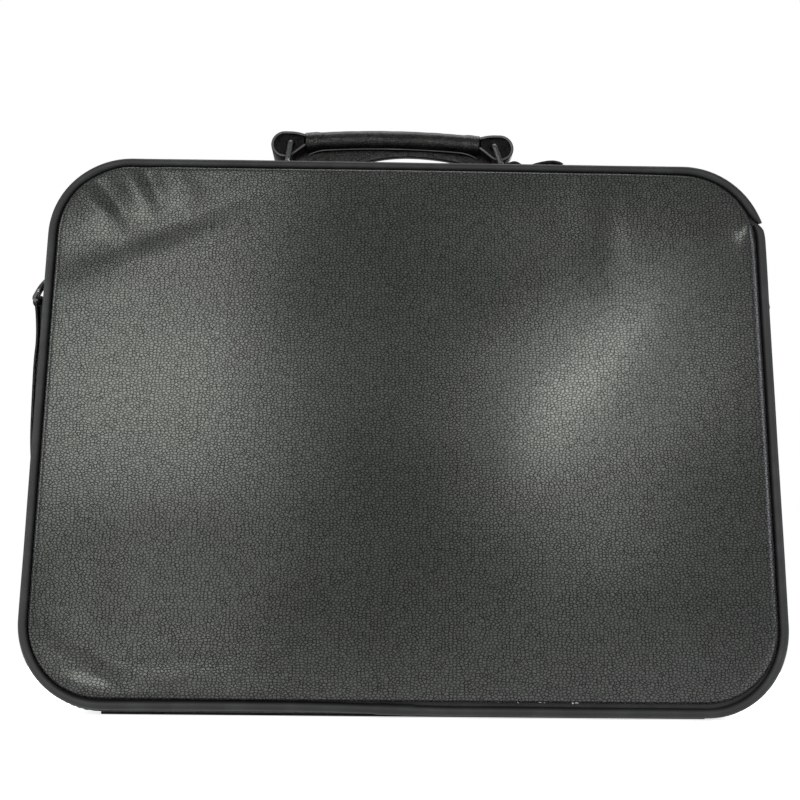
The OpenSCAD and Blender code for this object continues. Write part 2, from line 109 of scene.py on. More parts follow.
def add_node(
    tree: bpy.types.NodeTree,
    kind: str,
    inputs: Inputs | None = None,
    out: str | int = 0,
    **settings: object,
) -> bpy.types.NodeSocket | None:
    """Adds one shader node, sets it and links it.

    Args:
        tree: the node tree that gets it.
        kind: the node's type without its prefix.
        inputs: sockets by name or number, each with a value or an output to link.
        out: the output that is wanted, by name or number.
        **settings: the node's own properties; stops gives a ramp its places and colours.

    Returns:
        That output, or nothing from a node that has none.
    """
    node = tree.nodes.new("ShaderNode" + kind)
    for name, value in settings.items():
        if name == "stops":
            for element, (place, colour) in zip(node.color_ramp.elements, value):
                element.position = place
                element.color = colour
        else:
            setattr(node, name, value)
    for key, value in (inputs or {}).items():
        if isinstance(value, bpy.types.NodeSocket):
            tree.links.new(value, node.inputs[key])
        else:
            node.inputs[key].default_value = value
    return node.outputs[out] if node.outputs else None


def per_mm(size: float) -> float:
    """A texture scale whose cells are size millimetres across."""
    return 1 / (size * MM)


def waves_per_mm(size: float) -> float:
    """A wave texture's scale for bands size millimetres apart: its own wave is pi / 10 long."""
    return per_mm(size) * math.pi / 10


def deselect() -> None:
    """Leaves edit mode and selects nothing."""
    active = bpy.context.view_layer.objects.active
    if active and active.mode != "OBJECT":
        bpy.ops.object.mode_set(mode="OBJECT")
    bpy.ops.object.select_all(action="DESELECT")


def take(obj: bpy.types.Object) -> None:
    """Selects one object and makes it the active one.

    Args:
        obj: the object.
    """
    deselect()
    obj.select_set(True)
    bpy.context.view_layer.objects.active = obj


def named(name: str) -> bpy.types.Object:
    """Names the object that an operator has just added.

    Args:
        name: the name that object and mesh get.

    Returns:
        The object.
    """
    obj = bpy.context.object
    obj.name = obj.data.name = name
    return obj


def vertices_of(obj: bpy.types.Object) -> np.ndarray:
    """Reads where a mesh's vertices are.

    Args:
        obj: the mesh object.

    Returns:
        A row of three numbers for each vertex.
    """
    flat = np.empty(len(obj.data.vertices) * 3)
    obj.data.vertices.foreach_get("co", flat)
    return flat.reshape(-1, 3)


def reshape(obj: bpy.types.Object, move: Move) -> None:
    """Moves a mesh's vertices by a rule.

    Args:
        obj: the mesh object.
        move: takes the places as rows of three numbers and returns the new ones.
    """
    obj.data.vertices.foreach_set("co", move(vertices_of(obj)).ravel())
    obj.data.update()


def in_edit(obj: bpy.types.Object, *steps: Callable[[], object]) -> None:
    """Runs edit-mode operators on a mesh, all of it selected at first.

    Args:
        obj: the mesh object.
        *steps: the operators, in order.
    """
    take(obj)
    bpy.ops.object.mode_set(mode="EDIT")
    bpy.ops.mesh.select_all(action="SELECT")
    for step in steps:
        step()
    bpy.ops.object.mode_set(mode="OBJECT")


def merge_seam(obj: bpy.types.Object) -> None:
    """Merges the two ends of a closed strip, drawn in millimetres."""
    in_edit(obj, lambda: bpy.ops.mesh.remove_doubles(threshold=0.02))


def modify(obj: bpy.types.Object, kind: str, **settings: object) -> None:
    """Adds a modifier, sets it and applies it.

    Args:
        obj: the mesh object.
        kind: the modifier's type.
        **settings: its properties.
    """
    take(obj)
    modifier = obj.modifiers.new(kind.title(), kind)
    for name, value in settings.items():
        setattr(modifier, name, value)
    bpy.ops.object.modifier_apply(modifier=modifier.name)


def repeat(obj: bpy.types.Object, count: int, pitch: float) -> None:
    """Copies a mesh in a row along X.

    Args:
        obj: the mesh object.
        count: how many there are in the end.
        pitch: distance from one to the next.
    """
    modify(
        obj,
        "ARRAY",
        count=count,
        use_relative_offset=False,
        use_constant_offset=True,
        constant_offset_displace=(pitch, 0, 0),
    )


def smooth(obj: bpy.types.Object, angle: float) -> None:
    """Shades a mesh smooth up to an angle in degrees."""
    take(obj)
    bpy.ops.object.shade_smooth_by_angle(angle=math.radians(angle))


def settle(obj: bpy.types.Object, angle: float = 40) -> bpy.types.Object:
    """Brings a mesh drawn in millimetres to metres, turns its faces out and shades it smooth.

    Args:
        obj: the mesh object.
        angle: the sharpest edge that is shaded smooth, in degrees.

    Returns:
        The same object.
    """
    reshape(obj, lambda co: co * MM)
    in_edit(obj, lambda: bpy.ops.mesh.normals_make_consistent(inside=False))
    smooth(obj, angle)
    return obj


def joined(name: str, parts: Sequence[bpy.types.Object]) -> bpy.types.Object:
    """Joins meshes into one object.

    Args:
        name: the name of the whole.
        parts: the meshes.

    Returns:
        The joined object.
    """
    take(parts[0])
    for part in parts:
        part.select_set(True)
    bpy.ops.object.join()
    return named(name)


def strip(
    name: str,
    section: Sequence[Pair],
    start: float,
    length: float,
    step: float,
    closed: bool = False,
) -> bpy.types.Object:
    """Draws a closed section out along X.

    Args:
        name: the object's name.
        section: places across (Y) and out (Z), in order round the section.
        start: where the strip begins along X.
        length: how long it is.
        step: about how far apart its rings are.
        closed: leaves the two ends open, to be merged with each other.

    Returns:
        The straight strip.
    """
    deselect()
    bpy.ops.mesh.primitive_circle_add(vertices=len(section), fill_type="NOTHING")
    obj = named(name)
    ring = np.array([(start, across, out) for across, out in section])
    reshape(obj, lambda co: ring)
    count = max(1, round(length / step))
    offset = (length / count, 0, 0)
    in_edit(obj, lambda: bpy.ops.mesh.extrude_repeat(steps=count, offset=offset))
    if not closed:
        in_edit(obj, lambda: bpy.ops.mesh.fill_holes(sides=0))
    return obj


def eased_copy(node: str, name: str, edge: float) -> bpy.types.Object:
    """Copies a firm CAD strap as a merged mesh with rounded edges.

    Args:
        node: the CAD node.
        name: the copy's name.
        edge: width of the rounding.

    Returns:
        The copy, in metres.
    """
    obj = bpy.data.objects.new(name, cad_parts[node].data.copy())
    bpy.context.scene.collection.objects.link(obj)
    obj.data.materials.clear()
    in_edit(
        obj,
        lambda: bpy.ops.mesh.remove_doubles(threshold=MERGE),
        lambda: bpy.ops.mesh.dissolve_limited(angle_limit=FLAT_ANGLE),
    )
    modify(
        obj,
        "BEVEL",
        width=edge * MM,
        segments=3,
        limit_method="ANGLE",
        angle_limit=SHARP_ANGLE,
    )
    smooth(obj, 35)
    return obj


def slab(
    width: float, thick: float, across: float = 0.0, out: float = 0.0, edge: float = 0.5
) -> list[Pair]:
    """The section of a flat strap with rounded edges.

    Args:
        width: its width.
        thick: its thickness.
        across: where its middle lies across.
        out: where its middle lies outward.
        edge: radius of its edges.

    Returns:
        Places across and out, in order.
    """
    wide, deep = width / 2 - edge, thick / 2 - edge
    places = []
    for quarter, (x, z) in enumerate(((1, 1), (-1, 1), (-1, -1), (1, -1))):
        for a in np.radians(np.linspace(0, 90, 4) + 90 * quarter):
            places.append(
                (across + x * wide + edge * math.cos(a), out + z * deep + edge * math.sin(a))
            )
    return places


def wander(s: np.ndarray, size: float, waves: Sequence[float], turn: float = 0.0) -> np.ndarray:
    """A slow unevenness along a length, as handwork has.

    Args:
        s: places along the length.
        size: the most that it departs.
        waves: wavelengths that are added up.
        turn: shifts the waves.

    Returns:
        The departure at each place.
    """
    total = sum(np.sin(2 * math.pi * s / w + turn + 1.7 * k) for k, w in enumerate(waves))
    return size * total / len(waves)


@dataclass(frozen=True)
class Finish:
    """What every finish shares: a name, and a surface shader whose inputs it works out."""

    name: str

    def material(self) -> bpy.types.Material:
        """Makes the material the first time and finds it again after that.

        Returns:
            The material.
        """
        found = bpy.data.materials.get(self.name)
        if found:
            return found
        made = bpy.data.materials.new(self.name)
        made.use_nodes = True
        tree = made.node_tree
        tree.nodes.clear()
        place = add_node(tree, "TexCoord", out="Object")
        surface = add_node(tree, "BsdfPrincipled", self.dress(tree, place))
        add_node(tree, "OutputMaterial", {"Surface": surface})
        return made

    def dress(self, tree: bpy.types.NodeTree, place: bpy.types.NodeSocket) -> Inputs:
        """Works the surface out; each kind of finish has its own way.

        Args:
            tree: the material's node tree.
            place: the place on the object, which patterns are drawn by.

        Returns:
            The surface shader's inputs, each a value or an output to link.
        """
        raise NotImplementedError


@dataclass(frozen=True)
class Leatherette(Finish):
    """PVC leatherette, embossed with a pebble grain: a satin charcoal black that scuffs to grey.

    The pebbles are 0.9 to 1.4 mm, longer across than up, and the creases between them are painted
    shade: their colour and gloss are darkened where shade would fall. A flat piece has its grain
    drawn in the plane of X and Z. Their edges wander by warp in waves of waver, both in
    millimetres.
    """

    colour: str = "#222322"
    haze: str = "#2a2b2a"
    grain: float = 1.22
    relief: float = 0.022
    rough: float = 0.16
    haze_size: float = 90.0
    gloss: float = 0.7
    crease: float = 0.43
    # painted shade: how much of its colour and gloss a crease keeps
    shade: float = 0.3
    across: float = 0.8
    flat: bool = False
    waver: float = 3.2
    warp: float = 1.1

    def dress(self, tree: bpy.types.NodeTree, place: bpy.types.NodeSocket) -> Inputs:
        """Grain by wandering cells, broad haze, and painted shade in the creases' colour and gloss.

        Args:
            tree: the material's node tree.
            place: the place on the object.

        Returns:
            The surface shader's inputs.
        """
        turn = (-math.pi / 2 if self.flat else 0.0, 0.0, 0.0)
        scale = (self.across, 1.0, 1.0)
        stretched = add_node(tree, "Mapping", {"Vector": place, "Rotation": turn, "Scale": scale})
        wavering = {"Vector": place, "Scale": per_mm(self.waver), "Detail": 2.0}
        waver = add_node(tree, "TexNoise", wavering, "Fac")
        bent = add_node(
            tree,
            "MixRGB",
            {"Fac": self.warp * MM, "Color1": stretched, "Color2": waver.node.outputs["Color"]},
            blend_type="ADD",
        )
        cells = add_node(
            tree,
            "TexVoronoi",
            {"Vector": bent, "Scale": per_mm(self.grain), "Randomness": 0.9},
            "Distance",
            feature="DISTANCE_TO_EDGE",
            voronoi_dimensions="2D" if self.flat else "3D",
        )
        pebble = add_node(
            tree,
            "MapRange",
            {"Value": cells, "From Max": self.crease},
            interpolation_type="SMOOTHSTEP",
        )
        relief = {"Height": pebble, "Strength": 1.0, "Distance": self.relief * MM}
        hazing = {
            "Vector": place,
            "Scale": per_mm(self.haze_size),
            "Detail": 4.0,
            "Roughness": 0.6,
        }
        broad = add_node(tree, "TexNoise", hazing, "Fac")
        stops = [(0.35, hex_colour(self.colour)), (0.7, hex_colour(self.haze))]
        hazed = add_node(tree, "ValToRGB", {"Fac": broad}, stops=stops)
        # painted shade: how dark the creases are painted, in patches that follow the waver noise
        depth = add_node(
            tree,
            "MapRange",
            {
                "Value": waver,
                "From Min": 0.38,
                "From Max": 0.62,
                "To Min": 0.75 * self.shade,
                "To Max": self.shade + 0.13,
            },
        )
        # painted shade: colour is darkened in the creases between the pebbles
        shaded = add_node(tree, "MapRange", {"Value": pebble, "To Min": depth, "To Max": 1.0})
        both = {"Fac": 1.0, "Color1": hazed, "Color2": shaded}
        rough = {
            "Value": broad,
            "From Min": 0.3,
            "From Max": 0.7,
            "To Min": self.rough - 0.02,
            "To Max": self.rough + 0.05,
        }
        # the same painted shade also lowers the gloss in the creases
        gloss = {0: shaded, 1: self.gloss}
        return {
            "Base Color": add_node(tree, "MixRGB", both, blend_type="MULTIPLY"),
            "Roughness": add_node(tree, "MapRange", rough),
            "Specular IOR Level": add_node(tree, "Math", gloss, operation="MULTIPLY"),
            "Normal": add_node(tree, "Bump", relief),
        }


@dataclass(frozen=True)
class SmoothVinyl(Finish):
    """Plasticised PVC drawn over a cord: nearly smooth, dark grey, glossier where it is rubbed."""

    colour: str = "#0d0d0e"
    rubbed: str = "#191a1b"
    rough: float = 0.55
    gloss: float = 0.3

    def dress(self, tree: bpy.types.NodeTree, place: bpy.types.NodeSocket) -> Inputs:
        """Faint draw marks and rubbed places.

        Args:
            tree: the material's node tree.
            place: the place on the object.

        Returns:
            The surface shader's inputs.
        """
        rubbing = {"Vector": place, "Scale": per_mm(14), "Detail": 5.0}
        rubs = add_node(tree, "TexNoise", rubbing, "Fac")
        stops = [(0.45, hex_colour(self.colour)), (0.75, hex_colour(self.rubbed))]
        rough = {"Value": rubs, "To Min": self.rough + 0.1, "To Max": self.rough - 0.1}
        drawn = {"Vector": place, "Scale": per_mm(1.1), "Detail": 3.0}
        marks = add_node(tree, "TexNoise", drawn, "Fac")
        relief = {"Height": marks, "Strength": 0.35, "Distance": 0.08 * MM}
        return {
            "Base Color": add_node(tree, "ValToRGB", {"Fac": rubs}, stops=stops),
            "Roughness": add_node(tree, "MapRange", rough),
            "Normal": add_node(tree, "Bump", relief),
            "Specular IOR Level": self.gloss,
        }


@dataclass(frozen=True)
class Thread(Finish):
    """Spun polyester thread: dull, with a twist that shows as fine slanted shade."""

    colour: str = "#202022"

    def dress(self, tree: bpy.types.NodeTree, place: bpy.types.NodeSocket) -> Inputs:
        """Twist of about 0.5 mm, drawn with a wave.

        Args:
            tree: the material's node tree.
            place: the place on the object.

        Returns:
            The surface shader's inputs.
        """
        wave = {"Vector": place, "Scale": waves_per_mm(0.5), "Distortion": 2.0}
        twist = add_node(tree, "TexWave", wave, "Fac", bands_direction="DIAGONAL")
        light = hex_colour(self.colour)
        dark = tuple(0.5 * c for c in light[:3]) + (1.0,)
        stops = [(0.2, dark), (0.8, light)]
        relief = {"Height": twist, "Strength": 0.5, "Distance": 0.05 * MM}
        return {
            "Base Color": add_node(tree, "ValToRGB", {"Fac": twist}, stops=stops),
            "Normal": add_node(tree, "Bump", relief),
            "Roughness": 0.8,
        }


@dataclass(frozen=True)
class Woven(Finish):
    """Plain-woven synthetic yarn, as in zip tape, webbing or lining: dull, over and under.

    Real yarns are 0.3 to 0.6 mm apart; webbing and lining are drawn coarser so that they show.
    """

    colour: str
    dark: str
    yarn: float
    sheen: float = 0.2

    def dress(self, tree: bpy.types.NodeTree, place: bpy.types.NodeSocket) -> Inputs:
        """Two crossed sets of threads, with slow changes of shade.

        Args:
            tree: the material's node tree.
            place: the place on the object.

        Returns:
            The surface shader's inputs.
        """
        wave = {
            "Vector": place,
            "Scale": waves_per_mm(self.yarn),
            "Distortion": 0.6,
            "Detail": 1.0,
        }
        warp = add_node(tree, "TexWave", wave, "Fac", bands_direction="X")
        weft = add_node(tree, "TexWave", wave, "Fac", bands_direction="Z")
        weave = add_node(tree, "Math", {0: warp, 1: weft}, operation="MULTIPLY")
        slubs = {"Vector": place, "Scale": per_mm(25), "Detail": 4.0}
        slub = add_node(tree, "TexNoise", slubs, "Fac")
        mixed = {0: slub, 1: 0.5, 2: weave}
        amount = add_node(tree, "Math", mixed, operation="MULTIPLY_ADD")
        stops = [(0.2, hex_colour(self.dark)), (0.9, hex_colour(self.colour))]
        relief = {"Height": weave, "Strength": 0.6, "Distance": 0.12 * MM}
        return {
            "Base Color": add_node(tree, "ValToRGB", {"Fac": amount}, stops=stops),
            "Normal": add_node(tree, "Bump", relief),
            "Roughness": 0.85,
            "Sheen Weight": self.sheen,
        }


@dataclass(frozen=True)
class BlackNylon(Finish):
    """Drawn nylon monofilament of a zip coil: black, a soft plastic gloss, dusty in patches."""

    colour: str = "#131315"
    dust: str = "#2b2b2c"

    def dress(self, tree: bpy.types.NodeTree, place: bpy.types.NodeSocket) -> Inputs:
        """Dust in patches over a smooth gloss.

        Args:
            tree: the material's node tree.
            place: the place on the object.

        Returns:
            The surface shader's inputs.
        """
        dusting = {"Vector": place, "Scale": per_mm(6), "Detail": 4.0}
        patches = add_node(tree, "TexNoise", dusting, "Fac")
        stops = [(0.5, hex_colour(self.colour)), (0.8, hex_colour(self.dust))]
        rough = {"Value": patches, "To Min": 0.25, "To Max": 0.6}
        return {
            "Base Color": add_node(tree, "ValToRGB", {"Fac": patches}, stops=stops),
            "Roughness": add_node(tree, "MapRange", rough),
        }


@dataclass(frozen=True)
class EnamelledSteel(Finish):
    """Steel wire or pressing under black enamel, chipped to bare metal in small places."""

    colour: str = "#101011"
    bare: str = "#b9b7b1"
    chip: float = 5.0
    wear: float = 0.66

    def dress(self, tree: bpy.types.NodeTree, place: bpy.types.NodeSocket) -> Inputs:
        """Chips from one noise set colour, metal and gloss together.

        Args:
            tree: the material's node tree.
            place: the place on the object.

        Returns:
            The surface shader's inputs.
        """
        chips = {"Vector": place, "Scale": per_mm(self.chip), "Detail": 6.0, "Roughness": 0.65}
        spots = add_node(tree, "TexNoise", chips, "Fac")
        worn = {"Value": spots, "From Min": self.wear - 0.02, "From Max": self.wear + 0.02}
        bare = add_node(tree, "MapRange", worn)
        tones = {"Fac": bare, "Color1": hex_colour(self.colour), "Color2": hex_colour(self.bare)}
        rough = {"Value": spots, "To Min": 0.25, "To Max": 0.5}
        relief = {"Height": bare, "Strength": 0.4, "Distance": 0.05 * MM}
        return {
            "Base Color": add_node(tree, "MixRGB", tones),
            "Metallic": bare,
            "Roughness": add_node(tree, "MapRange", rough),
            "Normal": add_node(tree, "Bump", relief, invert=True),
        }


@dataclass(frozen=True)
class FibreBoard(Finish):
    """Pulp board or foam, out of sight when the case is closed: matt, with flecks of fibre."""

    colour: str
    fleck: str
    fibre: float = 3.0

    def dress(self, tree: bpy.types.NodeTree, place: bpy.types.NodeSocket) -> Inputs:
        """Flecks of two tones and a faint tooth.

        Args:
            tree: the material's node tree.
            place: the place on the object.

        Returns:
            The surface shader's inputs.
        """
        pulp = {"Vector": place, "Scale": per_mm(self.fibre), "Detail": 6.0, "Distortion": 1.0}
        flecks = add_node(tree, "TexNoise", pulp, "Fac")
        stops = [(0.4, hex_colour(self.colour)), (0.7, hex_colour(self.fleck))]
        relief = {"Height": flecks, "Strength": 0.4, "Distance": 0.1 * MM}
        return {
            "Base Color": add_node(tree, "ValToRGB", {"Fac": flecks}, stops=stops),
            "Normal": add_node(tree, "Bump", relief),
            "Roughness": 0.9,
        }


# Every leatherette below paints shade into its creases, darkening their colour and gloss.
# Embossed PVC sheet over foam: satin, with pebbles 1.4 mm high and 1.9 mm wide.
PANEL_LEATHER = Leatherette(
    "pebbled_leatherette_panel",
    colour="#272827",
    haze="#2f302f",
    grain=1.4,
    relief=0.015,
    rough=0.21,
    gloss=0.42,
    crease=0.32,
    shade=0.2,
    across=0.72,
    flat=True,
)
# The same sheet round the sides, duller and darker because it was never polished by handling.
GUSSET_LEATHER = Leatherette(
    "pebbled_leatherette_gusset", colour="#101010", haze="#181818", rough=0.55, gloss=0.4
)
# Thinner sheet with a finer grain, folded into straps: nearly black with a dull sheen.
STRAP_LEATHER = Leatherette(
    "fine_leatherette_strap",
    colour="#080808",
    haze="#101010",
    grain=1.0,
    rough=0.42,
    haze_size=30.0,
    gloss=0.3,
)
# Cut and rolled edges of that sheet: matt and rougher.
CUT_LEATHER = Leatherette(
    "cut_leatherette_edge",
    colour="#070707",
    haze="#141414",
    grain=0.9,
    relief=0.08,
    rough=0.7,
    haze_size=4.0,
    gloss=0.2,
)
# The grip's cover, polished by hands: black with a clear highlight.
GRIP_LEATHER = Leatherette(
    "worn_leatherette_grip",
    colour="#080808",
    haze="#131313",
    grain=1.0,
    relief=0.05,
    rough=0.3,
    haze_size=16.0,
    gloss=0.5,
)
# Drawn vinyl over the piping cord, and the paler edge that shows where vinyl is cut.
PIPING_VINYL = SmoothVinyl("drawn_vinyl_piping")
EDGE_VINYL = SmoothVinyl("cut_vinyl_edge", colour="#3b3b3a", rubbed="#565654", rough=0.5)
# Spun thread of the seams, and its pale core where it has frayed.
DARK_THREAD = Thread("black_polyester_thread")
FRAYED_THREAD = Thread("frayed_pale_thread", colour="#a9a8a2")
# Woven tape of the zip, stouter webbing, and a grey nylon lining with a little sheen.
TAPE_WEAVE = Woven("black_zip_tape", colour="#1d1d1f", dark="#0b0b0c", yarn=0.6)
WEBBING_WEAVE = Woven("black_webbing", colour="#242426", dark="#0c0c0d", yarn=1.1)
LINING_WEAVE = Woven("grey_nylon_lining", colour="#46484c", dark="#232427", yarn=1.4, sheen=0.35)
# Drawn nylon of the zip's coil: small plastic glints.
COIL_NYLON = BlackNylon("black_nylon_coil")
# Bent wire worn bright in places, enamelled castings and rivet heads, and a bare pressed plate.
RING_STEEL = EnamelledSteel("worn_black_steel_wire", wear=0.6)
ZIP_STEEL = EnamelledSteel("black_enamelled_zip_metal", colour="#1a1a1b", wear=0.7)
RIVET_STEEL = EnamelledSteel("black_enamelled_rivet", colour="#161617", wear=0.68)
PLATE_STEEL = EnamelledSteel("grey_steel_plate", colour="#6b6c6d", bare="#a9a8a4", wear=0.55)
# Pressed pulp board and cut foam: both matt and flecked.
PULP_BOARD = FibreBoard("grey_pulp_board", colour="#2b2a28", fleck="#403e3b")
DARK_FOAM = FibreBoard("dark_foam", colour="#191919", fleck="#2a2a2a", fibre=1.5)


def place_piece(
    obj: bpy.types.Object, finish: Finish, body: str, slot: str, *nodes: str
) -> None:
    """Gives a finished piece its material, its body and what it stands for.

    Args:
        obj: the piece, in metres.
        finish: its finish.
        body: the CAD body that it rides on.
        slot: the record's material slot; not used.
        *nodes: the CAD nodes that it replaces.
    """
    obj.data.materials.clear()
    obj.data.materials.append(finish.material())
    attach(obj, body)
    if nodes:
        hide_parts(*nodes)
    LOG.info("%s rides on %s", obj.name, body)


def dress_node(node: str, finish: Finish) -> None:
    """Gives a CAD node that stays in sight its material.

    Args:
        node: the CAD node.
        finish: its finish.
    """
    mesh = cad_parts[node].data
    mesh.materials.clear()
    mesh.materials.append(finish.material())
    LOG.info("%s keeps its CAD shape", node)


@dataclass(frozen=True)
class Seam:
    """A way of sewing: distance from stitch to stitch, and the length and thickness of each."""

    pitch: float
    long: float
    thick: float = 0.6

    def row(
        self, name: str, start: float, length: float, across: float, out: float
    ) -> bpy.types.Object:
        """Sews a straight row along X: one plump stitch, copied.

        Args:
            name: the object's name.
            start: where the row begins.
            length: how far it runs.
            across: where it lies along Y.
            out: where it lies along Z.

        Returns:
            The straight row.
        """
        deselect()
        bpy.ops.mesh.primitive_uv_sphere_add(segments=6, ring_count=4, radius=0.5)
        obj = named(name)
        size = np.array([self.long, self.thick, self.thick])
        middle = np.array([start + self.long / 2, across, out])
        reshape(obj, lambda co: co[:, ::-1] * size + middle)
        repeat(obj, max(1, int(length / self.pitch)), self.pitch)
        return obj

    def pair(
        self, name: str, start: float, length: float, middle: float, apart: float, out: float
    ) -> bpy.types.Object:
        """Sews two rows beside each other.

        Args:
            name: the object's name.
            start: where the rows begin.
            length: how far they run.
            middle: where the line between them lies along Y.
            apart: how far each lies from that line.
            out: where they lie along Z.

        Returns:
            Both rows as one straight object.
        """
        rows = [
            self.row(f"{name}_row", start, length, middle + side * apart, out) for side in (-1, 1)
        ]
        return joined(name, rows)


GUSSET_SEAM = Seam(3.6, 2.7)
BASE_SEAM = Seam(4.0, 3.0)
STRAP_SEAM = Seam(3.4, 2.4)
GRIP_SEAM = Seam(3.0, 2.2, 0.5)


@dataclass(frozen=True)
class Path:
    """A line in a plane across Y that straight pieces are laid along.

    points holds places in X and Z, and outs the direction away from the surface at each of them.
    """

    points: np.ndarray
    outs: np.ndarray
    closed: bool = False

    @classmethod
    def through(cls, corners: Sequence[Pair], turn: float, cuts: int = 3) -> "Path":
        """Draws a line past corners, which it rounds off.

        Args:
            corners: places in X and Z, in order.
            turn: 1 where out lies to the left of the way along, and -1 where it lies to the right.
            cuts: how often each corner is cut.

        Returns:
            The open line.
        """
        line = np.array(corners, dtype=float)
        for _ in range(cuts):
            near = 0.75 * line[:-1] + 0.25 * line[1:]
            far = 0.25 * line[:-1] + 0.75 * line[1:]
            inner = np.stack([near, far], axis=1).reshape(-1, 2)
            line = np.concatenate([line[:1], inner, line[-1:]])
        ways = np.gradient(line, axis=0)
        ways /= np.linalg.norm(ways, axis=1)[:, None]
        return cls(line, turn * np.column_stack([-ways[:, 1], ways[:, 0]]))

    @property
    def run(self) -> np.ndarray:
        """Distance along the line at each of its points."""
        steps = np.linalg.norm(np.diff(self.points, axis=0), axis=1)
        return np.concatenate([[0.0], np.cumsum(steps)])

    @property
    def length(self) -> float:
        """Length of the line."""
        return float(self.run[-1])

    def carry(self, co: np.ndarray) -> np.ndarray:
        """Works out where straight places come to lie: X along the line, Z out from it, Y kept.

        Args:
            co: a row for each straight place.

        Returns:
            The places along the line.
        """
        run = self.run
        s = np.mod(co[:, 0], run[-1]) if self.closed else co[:, 0]
        at = np.column_stack([np.interp(s, run, self.points[:, k]) for k in (0, 1)])
        out = np.column_stack([np.interp(s, run, self.outs[:, k]) for k in (0, 1)])
        out /= np.linalg.norm(out, axis=1)[:, None]
        at += out * co[:, 2:3]
        return np.column_stack([at[:, 0], co[:, 1], at[:, 1]])

    def lay(self, obj: bpy.types.Object) -> bpy.types.Object:
        """Carries a straight mesh onto the line and returns it."""
        reshape(obj, self.carry)
        return obj

    def strap(self, name: str, section: Sequence[Pair], step: float) -> bpy.types.Object:
        """Makes a strip that follows the whole line.

        Args:
            name: the object's name.
            section: its section, as strip takes it.
            step: about how far apart its rings are.

        Returns:
            The strip along the line.
        """
        return self.lay(strip(name, section, 0.0, self.length, step))


@dataclass(frozen=True)
class CaseShape:
    """Sizes that the sub-assemblies share."""

    width: float = 400.0
    height: float = 300.0
    corner: float = 45.0
    middle: float = 153.0
    bulge: float = 1.5
    seam: float = 30.0
    flat: float = 24.0
    drop: float = 2.0
    wall: float = 2.0
    lining: float = 0.6
    zip_line: float = 16.0
    reveal: float = 5.0
    tape_lap: float = 3.0
    base_half: float = 157.0
    carry: float = 1.0

    @property
    def run_x(self) -> float:
        """Half the straight run of the top."""
        return self.width / 2 - self.corner

    @property
    def run_z(self) -> float:
        """Half the straight run of a side."""
        return self.height / 2 - self.corner

    @property
    def top(self) -> float:
        """Height of the flat of the gusset."""
        return self.middle + self.height / 2 + self.bulge

    @property
    def perimeter(self) -> float:
        """Length of the outline of the piping."""
        return 4 * (self.run_x + self.run_z) + 2 * math.pi * self.corner

    def outline(self) -> Path:
        """The outline of the piping, from the middle of the bottom towards +X and all round.

        Returns:
            The closed line.
        """
        points, outs = [(0.0, self.middle - self.height / 2)], [(0.0, -1.0)]
        for quarter, (x, z) in enumerate(((1, -1), (1, 1), (-1, 1), (-1, -1))):
            for angle in np.radians(np.linspace(-90, 0, 46) + 90 * quarter):
                c, s = math.cos(angle), math.sin(angle)
                across = x * self.run_x + self.corner * c
                points.append((across, self.middle + z * self.run_z + self.corner * s))
                outs.append((c, s))
        points.append(points[0])
        outs.append(outs[0])
        return Path(np.array(points), np.array(outs), closed=True)

    def sheet(
        self, name: str, inset: float, rim: Sequence[float], step: float
    ) -> bpy.types.Object:
        """Cuts a flat rounded sheet whose rows follow its edge.

        Args:
            name: the object's name.
            inset: how far its edge lies inside the outline of the piping.
            rim: distances from the edge of the first rows.
            step: spacing of the rows after those.

        Returns:
            The sheet, with its distance from the edge kept in Y.
        """
        halves = (self.width / 2 - inset, self.height / 2 - inset)
        radius = self.corner - inset
        lines = []
        for half in halves:
            rest = max(2, round((half - rim[-1]) / step))
            inward = np.concatenate([rim, np.linspace(rim[-1], half, rest + 1)[1:]])
            lines.append(np.concatenate([inward - half, (half - inward)[-2::-1]]))
        columns, rows = (len(line) - 1 for line in lines)
        deselect()
        bpy.ops.mesh.primitive_grid_add(x_subdivisions=columns, y_subdivisions=rows, size=2)
        obj = named(name)

        def cut(co: np.ndarray) -> np.ndarray:
            """Spaces the rows and rounds the corners.

            Args:
                co: the even grid's places.

            Returns:
                The cut sheet's places.
            """
            places = [
                line[np.rint((co[:, k] + 1) / 2 * (len(line) - 1)).astype(int)]
                for k, line in enumerate(lines)
            ]
            edge = np.minimum(*(h - np.abs(p) for p, h in zip(places, halves)))
            into = [np.maximum(np.abs(p) - (h - radius), 0) for p, h in zip(places, halves)]
            both = (into[0] > 0) & (into[1] > 0)
            pull = np.where(both, np.maximum(*into) / np.maximum(np.hypot(*into), 1e-9), 1.0)
            moved = [
                np.where(both, np.sign(p) * (h - radius + i * pull), p)
                for p, h, i in zip(places, halves, into)
            ]
            return np.column_stack([moved[0], edge, moved[1] + self.middle])

        reshape(obj, cut)
        return obj


@dataclass(frozen=True)
class Crease:
    """A soft ridge or hollow in the leather, as a hand would press it.

    Places and sizes are millimetres on the panel; a hollow has a negative height.
    """

    x: float
    z: float
    long: float
    wide: float
    height: float
    turn: float = 0.0

    def lift(self, x: np.ndarray, z: np.ndarray) -> np.ndarray:
        """Works out how far it lifts the leather.

        Args:
            x: places across the panel.
            z: places up the panel.

        Returns:
            The lift at each place.
        """
        c, s = math.cos(math.radians(self.turn)), math.sin(math.radians(self.turn))
        u = (x - self.x) * c + (z - self.z) * s
        v = (z - self.z) * c - (x - self.x) * s
        return self.height * np.exp(-((u / self.long) ** 2) - (v / self.wide) ** 2)


